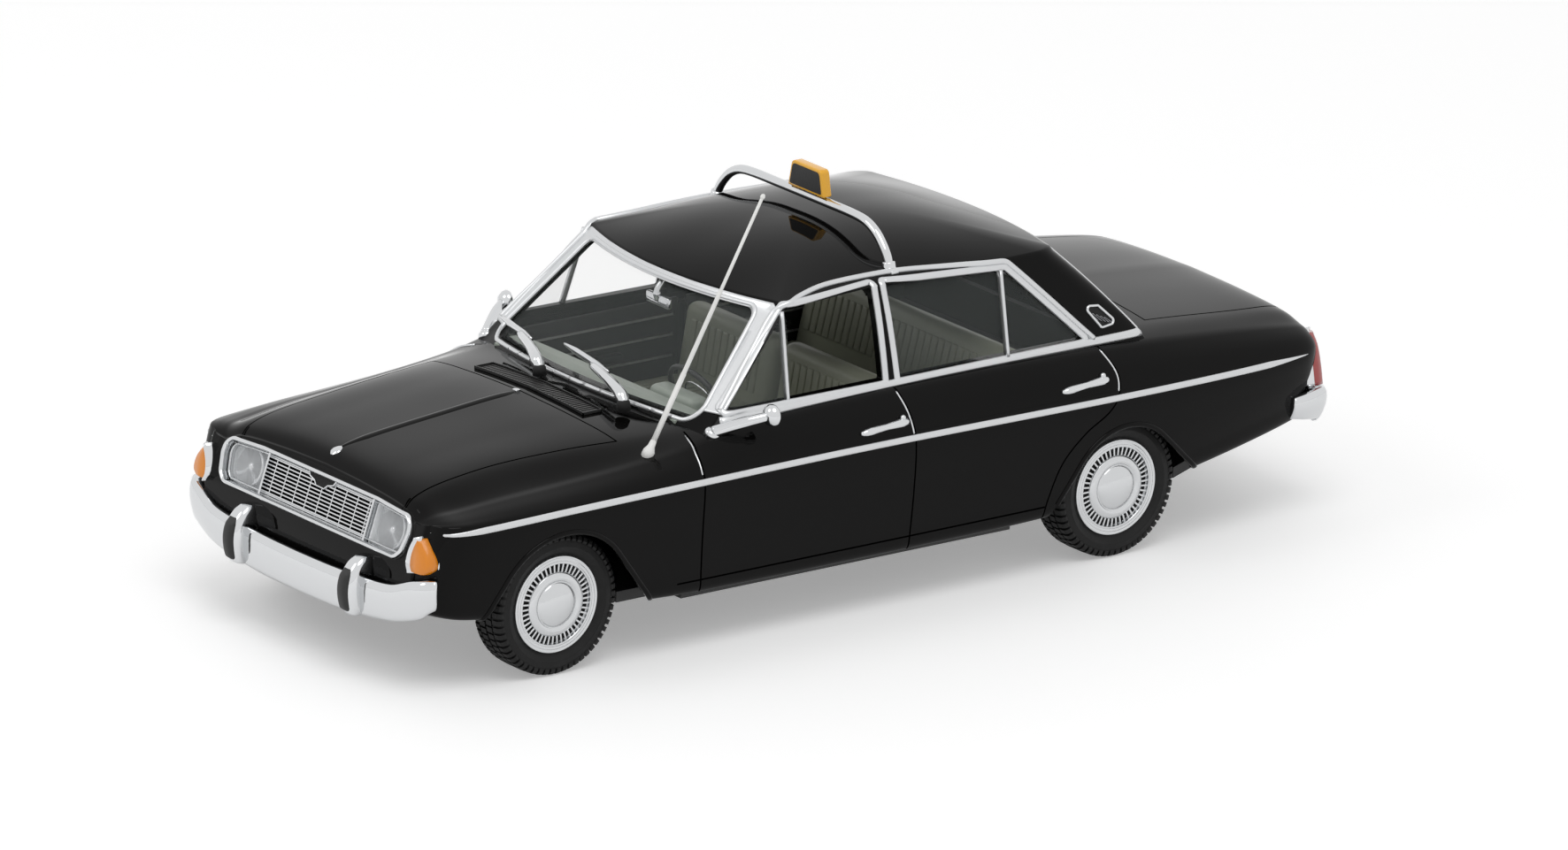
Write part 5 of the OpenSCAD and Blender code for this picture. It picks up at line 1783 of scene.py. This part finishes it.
def tyre(hub):
    """The carcass and its four rows of tread blocks."""
    wall = [(4.35, 1.15), (4.5, 1.55), (4.62, 1.66), (4.78, 1.7), (4.9, 1.86), (5.3, 1.97), (5.34, 2.02),
            (5.4, 1.99), (5.75, 1.98), (6.08, 1.86), (6.3, 1.6), (6.4, 1.2), (6.42, 0.6)]
    section_line = [*wall, *[(r, -h) for r, h in wall[::-1]]]
    shoulder = [(6.2, 1.05), (6.58, 1.05), (6.56, 1.6), (6.42, 1.86), (6.12, 2.0), (5.9, 1.95)]
    inner = [(6.2, 0.12), (6.6, 0.12), (6.6, 0.88), (6.2, 0.88)]
    shoulder_twin, inner_twin = ([(r, -h) for r, h in row[::-1]] for row in (shoulder, inner))
    return joined("tyre", [
        revolve("carcass", section_line, (hub, TYRE_Y, HUB_Z), (0, 1, 0), rubber, 128, 50),
        tread_row(hub, shoulder, 0.22),
        tread_row(hub, shoulder_twin, 0.22, 0.5),
        tread_row(hub, inner, 0.25, 0.25),
        tread_row(hub, inner_twin, 0.25, 0.75),
    ])


# %% [markdown]
# ## Wheel cover
#
# The cover is a turned rim and dish with a ring of slots between them. The slots are a black
# band behind a ring of spokes, which needs far fewer faces than cutting each slot out.

# %% Wheel cover
def cover(hub):
    """The stepped rim, the dish and the spokes between black slots."""
    at, out = (hub, TYRE_Y, HUB_Z), (0, 1, 0)
    rim_line = [(2.7, 1.0), (4.3, 1.0), (4.54, 1.1), (4.54, 1.72), (4.46, 1.84), (4.34, 1.86), (4.27, 1.78),
                (4.2, 1.78), (4.15, 1.84), (4.04, 1.84), (3.99, 1.77), (3.93, 1.77), (3.88, 1.83),
                (3.78, 1.83), (3.73, 1.74), (3.72, 1.3), (2.7, 1.3)]
    dish = [(3.02, 1.3), (3.0, 1.68), (2.93, 1.78), (2.72, 1.9), (2.5, 1.96), (2.3, 1.94), (2.2, 1.86),
            (2.14, 1.8), (2.08, 1.8), (2.04, 1.87), (1.9, 1.98), (1.6, 2.14), (1.2, 2.28), (0.7, 2.37),
            (0.3, 2.4), (0, 2.4)]
    spoke = block("spoke", (hub + 2.95, TYRE_Y + 1.3, HUB_Z - 0.09), (hub + 3.78, TYRE_Y + 1.7, HUB_Z + 0.09),
                  disc_silver)
    spoke = bevelled(spoke, 0.04, 2)
    return joined("cover", [
        revolve("rim", rim_line, at, out, disc_silver, 160, 30),
        revolve("dish", dish, at, out, disc_silver, 160, 30),
        revolve("slots", [(2.9, 1.28), (3.75, 1.28), (3.75, 1.36), (2.9, 1.36)], at, out, void, 96),
        ring_of(spoke, SPOKES, hub, disc_silver),
    ])


for word, hub in (("front", FRONT_HUB), ("rear", REAR_HUB)):
    for made, slot, kind in ((tyre(hub), "tyre_black", "tyre"), (cover(hub), "disc_silver", "disc")):
        base = f"{word}_{kind}_"
        made.name = base + "left_shape"
        twin = mirrored(made, base + "right_shape")
        dress(made, word + "_wheels", slot, base + "left")
        dress(twin, word + "_wheels", slot, base + "right")

# %% [markdown]
# ## Cabin
#
# Through the glass the grey-green seats show best. They are hard mouldings: rounded blocks
# with rows of pleats raised on them, stamped from one pleat by the repeat tree.

# %% Seats
def cushion(name, low, high, radius, material=trim_grey):
    """A block with softly rounded edges."""
    return bevelled(block(name, low, high, material), radius, 4, 30)


def tilted(obj, pivot, degrees):
    """Turns a piece about the car's cross axis through pivot."""
    centre = Matrix.Translation(Vector(place(pivot)))
    obj.data.transform(centre @ Matrix.Rotation(math.radians(degrees), 4, "Y") @ centre.inverted())
    return obj


PLEAT_PITCH = 0.95
PLEAT_HALF = 0.42


def seat(name, x, y, half, base, top, long, lean_back):
    """A cushion and a back whose faces carry a row of raised pleats."""
    fold = base + 2.6
    count = int((2 * half - 3) / PLEAT_PITCH) + 1
    start = y - (count - 1) * PLEAT_PITCH / 2
    low, high = start - PLEAT_HALF, start + PLEAT_HALF
    pleat = cushion("pleat", (x + 2.0, low, base + 5.0), (x + 2.5, high, top - 1.4), 0.2)
    flat = cushion("flat pleat", (x + 3.4, low, base + 4.0), (x + long - 1.2, high, base + 4.5), 0.2)
    pleats, flats = (repeat(unit, count, trim_grey, step=(0, PLEAT_PITCH, 0)) for unit in (pleat, flat))
    back = cushion("seat back", (x, y - half, fold), (x + 2.3, y + half, top), 1.0)
    return joined(name, [
        cushion("seat base", (x + 1.4, y - half, base), (x + long, y + half, base + 4.3), 0.85),
        flats,
        *(tilted(part, (x, y, fold), -lean_back) for part in (back, pleats)),
    ])


pair = [seat("seat", -7.3, side * 7.3, 6.7, 9.1, 19.9, 10.2, 9) for side in (1, -1)]
dress(joined("front seat pair", pair), "model", "seat_grey", "front_seats")
bench = seat("rear bench cushions", -21.4, 0.0, 15.0, 9.6, 20.2, 7.6, 14)
dress(bench, "model", "seat_grey", "rear_bench")

# %% [markdown]
# ## Dashboard and wheel
#
# The dashboard is a loft of one side profile across the cabin, with a pod for two dials. The
# steering wheel is a closed rod with a hub, a spoke and a horn ring, tilted to the driver.

# %% Dashboard and wheel
dash_shape = smooth([(12.9, 14.6), (10.6, 15.0), (9.75, 16.2), (9.7, 17.6), (10.2, 18.6), (11.2, 19.2),
                     (12.9, 19.75)], 6)
dash_rings = [np.column_stack([dash_shape[:, 0], np.full(len(dash_shape), y), dash_shape[:, 1]])
              for y in np.linspace(-15.4, 15.4, 12)]
dash = [auto_smooth(loft("dash", dash_rings, dash_grey), 40)]
SHELF_TOP = [(12.4, 19.3), (12.4, 20.0), (13.6, 20.05), (15.4, 19.7), (15.4, 19.3)]
DIAL = [(0, 0.06), (0.95, 0.06), (1.05, 0), (1.05, -0.1), (0, -0.1)]
dash.append(prism("dash top", SHELF_TOP, "y", -13.6, 13.6, dash_grey))
dash.append(cushion("dial pod", (9.3, 4.4, 17.5), (11.6, 10.8, 20.15), 0.6, dash_grey))
for y in (6.0, 9.2):
    dash.append(revolve("dial", DIAL, (9.3, y, 18.8), (-1, 0, 0.1), black, 40))
dress(joined("dashboard form", dash), "model", "seat_grey", "dashboard")

WHEEL_AT = np.array([8.0, 7.6, 18.6])
tilt = math.radians(62)
axis_back = np.array([-math.sin(tilt), 0, math.cos(tilt)])
side_way = np.array([0.0, 1.0, 0.0])
up_way = np.cross(axis_back, side_way)
wheel_plane = np.array([side_way, up_way])
rim_points = WHEEL_AT + circle(3.9, 96) @ wheel_plane
horn_points = WHEEL_AT + axis_back * 0.15 + circle(2.1, 64) @ wheel_plane
HUB_PAD = [(0, 0.45), (0.5, 0.4), (0.8, 0.15), (0.85, -0.3), (0, -0.3)]
steer = [
    tube("wheel rim", rim_points, 0.27, black, 16, closed=True),
    revolve("hub pad", HUB_PAD, WHEEL_AT, axis_back, black, 40),
    tube("column", [WHEEL_AT, WHEEL_AT - axis_back * 3.2], 0.45, black, 20),
    tube("spoke", [WHEEL_AT - side_way * 3.8, WHEEL_AT + side_way * 3.8], 0.2, chrome, 12),
    tube("horn ring", horn_points, 0.09, chrome, 10, closed=True),
]
dress(joined("steering wheel form", steer), "model", "trim_black", "steering_wheel")
stalk = smooth([(7.3, 0, 26.1), (7.5, 0, 26.9), (6.9, 0, 27.8), (6.2, 0, 28.7)], 5)
stalk_radii = [0.34] * 5 + [0.27] * (len(stalk) - 5)
cabin_mirror = joined("cabin mirror form", [
    cushion("mirror glass", (7.0, -1.7, 25.5), (7.5, 1.7, 26.6), 0.2, chrome),
    tube("mirror stalk", stalk, stalk_radii, chrome, 16),
])
dress(cabin_mirror, "model", "bright_trim", "cabin_mirror")

# %% [markdown]
# ## Door cards
#
# The doors are black inside, with three fine bright lines, an arm rest and a window winder on
# each. They close the view through the open front windows.

# %% Door cards
cards = []
for front, rear in ((11.6, -6.6), (-7.6, -25.5)):
    halfway = (front + rear) / 2
    winder = smooth([(front - 4.0, 15.2, 15.6), (front - 4.4, 15.0, 14.8), (front - 4.9, 14.9, 14.1)], 4)
    cards.append(block("card", (rear, 15.35, 9.4), (front, 15.75, 19.9), door_black, 0.1))
    for z in (18.3, 16.4, 14.4):
        cards.append(block("card line", (rear + 0.6, 15.26, z), (front - 0.6, 15.37, z + 0.2), silver))
    cards.append(cushion("arm rest", (halfway - 2.6, 14.6, 15.0), (halfway + 2.2, 15.5, 15.8), 0.25,
                         door_black))
    cards.append(tube("winder", winder, 0.13, chrome, 12))
dress(joined("door cards", with_twins(cards)), "model", "trim_black")

# %% [markdown]
# ## Underside
#
# The base, the floor tub, the exhaust and the axles keep their CAD shapes and only take a
# finish, because their flat faces and plain rods need no more detail.

# %% CAD pieces that stay
STAYING = (
    ("base_plate", black, "model", "base_black"),
    ("cabin_tub", door_black, "model", "trim_black"),
    ("exhaust", cast, "model", "dull_steel"),
    ("front_axle", steel, "front_wheels", "axle_steel"),
    ("rear_axle", steel, "rear_wheels", "axle_steel"),
)
for name, material, body_name, slot in STAYING:
    kept_node = bpy.data.objects[name]
    kept_node.data.materials.clear()
    kept_node.data.materials.append(material)
    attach(kept_node, body_name)


# %% [markdown]
# ## Camera, light and floor
#
# The view is a long lens from the left front, looking down by about 18 degrees. The long lens
# keeps the model's sides nearly parallel, as in a catalogue picture.

# %% Camera
scene = bpy.context.scene
CAMERA_AT = (1105.4, 1448.8, 598.2)
LOOK_AT = (-7.31, 0.0, 11.73)
CAMERA_ROLL = math.radians(1.604)
LENS = 487.6

camera_data = bpy.data.cameras.new("camera")
camera_data.lens = LENS
camera_data.sensor_width = 36
camera_data.clip_end = 50
camera = bpy.data.objects.new("camera", camera_data)
scene.collection.objects.link(camera)
eye = Vector(place(CAMERA_AT))
aim = Vector(place(LOOK_AT)) - eye
camera.matrix_world = (
    Matrix.Translation(eye)
    @ aim.to_track_quat("-Z", "Y").to_matrix().to_4x4()
    @ Matrix.Rotation(CAMERA_ROLL, 4, "Z")
)
scene.camera = camera
scene.view_settings.view_transform = "Standard"

# %% [markdown]
# ## World, lamps and floor
#
# The background is white, and the floor keeps the model's soft shadow. The world has two
# strengths: what the camera, reflections and glass see is white, and what lights the scene is
# softer, so pale plating keeps its tone. Two round lamps give the shadow its direction.

# %% World, lamps and floor
world = bpy.data.worlds.new("studio")
scene.world = world
world.use_nodes = True
tree = world.node_tree
soft_sky = tree.nodes["Background"]
soft_sky.inputs["Color"].default_value = (1, 1, 1, 1)
soft_sky.inputs["Strength"].default_value = 0.55
white_sky = tree.nodes.new("ShaderNodeBackground")
white_sky.inputs["Color"].default_value = (1, 1, 1, 1)
white_sky.inputs["Strength"].default_value = 1.0
rays = tree.nodes.new("ShaderNodeLightPath")


def either(a, b):
    """A socket that is on when either of two is."""
    both_rays = tree.nodes.new("ShaderNodeMath")
    both_rays.operation = "MAXIMUM"
    tree.links.new(a, both_rays.inputs[0])
    tree.links.new(b, both_rays.inputs[1])
    return both_rays.outputs[0]


# the camera, reflections and glass see white, and the rest takes the softer sky as light
shown = either(rays.outputs["Is Camera Ray"], rays.outputs["Is Glossy Ray"])
shown = either(shown, rays.outputs["Is Transmission Ray"])
mix = tree.nodes.new("ShaderNodeMixShader")
tree.links.new(shown, mix.inputs[0])
tree.links.new(soft_sky.outputs[0], mix.inputs[1])
tree.links.new(white_sky.outputs[0], mix.inputs[2])
tree.links.new(mix.outputs[0], tree.nodes["World Output"].inputs[0])


def lamp(name, at, aim_at, size, watts):
    """A round soft lamp that points at a place."""
    data = bpy.data.lights.new(name, "AREA")
    data.shape = "DISK"
    data.size = size * MM
    data.energy = watts
    made = bpy.data.objects.new(name, data)
    scene.collection.objects.link(made)
    at, aim_at = Vector(place(at)), Vector(place(aim_at))
    made.matrix_world = Matrix.Translation(at) @ (aim_at - at).to_track_quat("-Z", "Y").to_matrix().to_4x4()


lamp("key", (150, 250, 620), (0, 0, 10), 420, 1.1)
lamp("fill", (500, -200, 500), (0, 0, 10), 300, 0.45)

FLOOR_GLOW = 0.3
FLOOR_HALF = 3000
floor_shade = Shader("studio floor", (0.9, 0.9, 0.9), 0.6)
seen, glossy, through = (
    floor_shade.node("ShaderNodeLightPath", {}, out=ray)
    for ray in ("Is Camera Ray", "Is Glossy Ray", "Is Transmission Ray"))
floor_shade.set("Emission Color", (1, 1, 1, 1))
floor_shade.set("Emission Strength", seen.at_least(glossy).at_least(through) * FLOOR_GLOW)
corners = [(x * FLOOR_HALF, y * FLOOR_HALF, 0) for x, y in ((-1, -1), (1, -1), (1, 1), (-1, 1))]
floor = add("floor", corners, [(0, 1, 2, 3)], floor_shade.material)
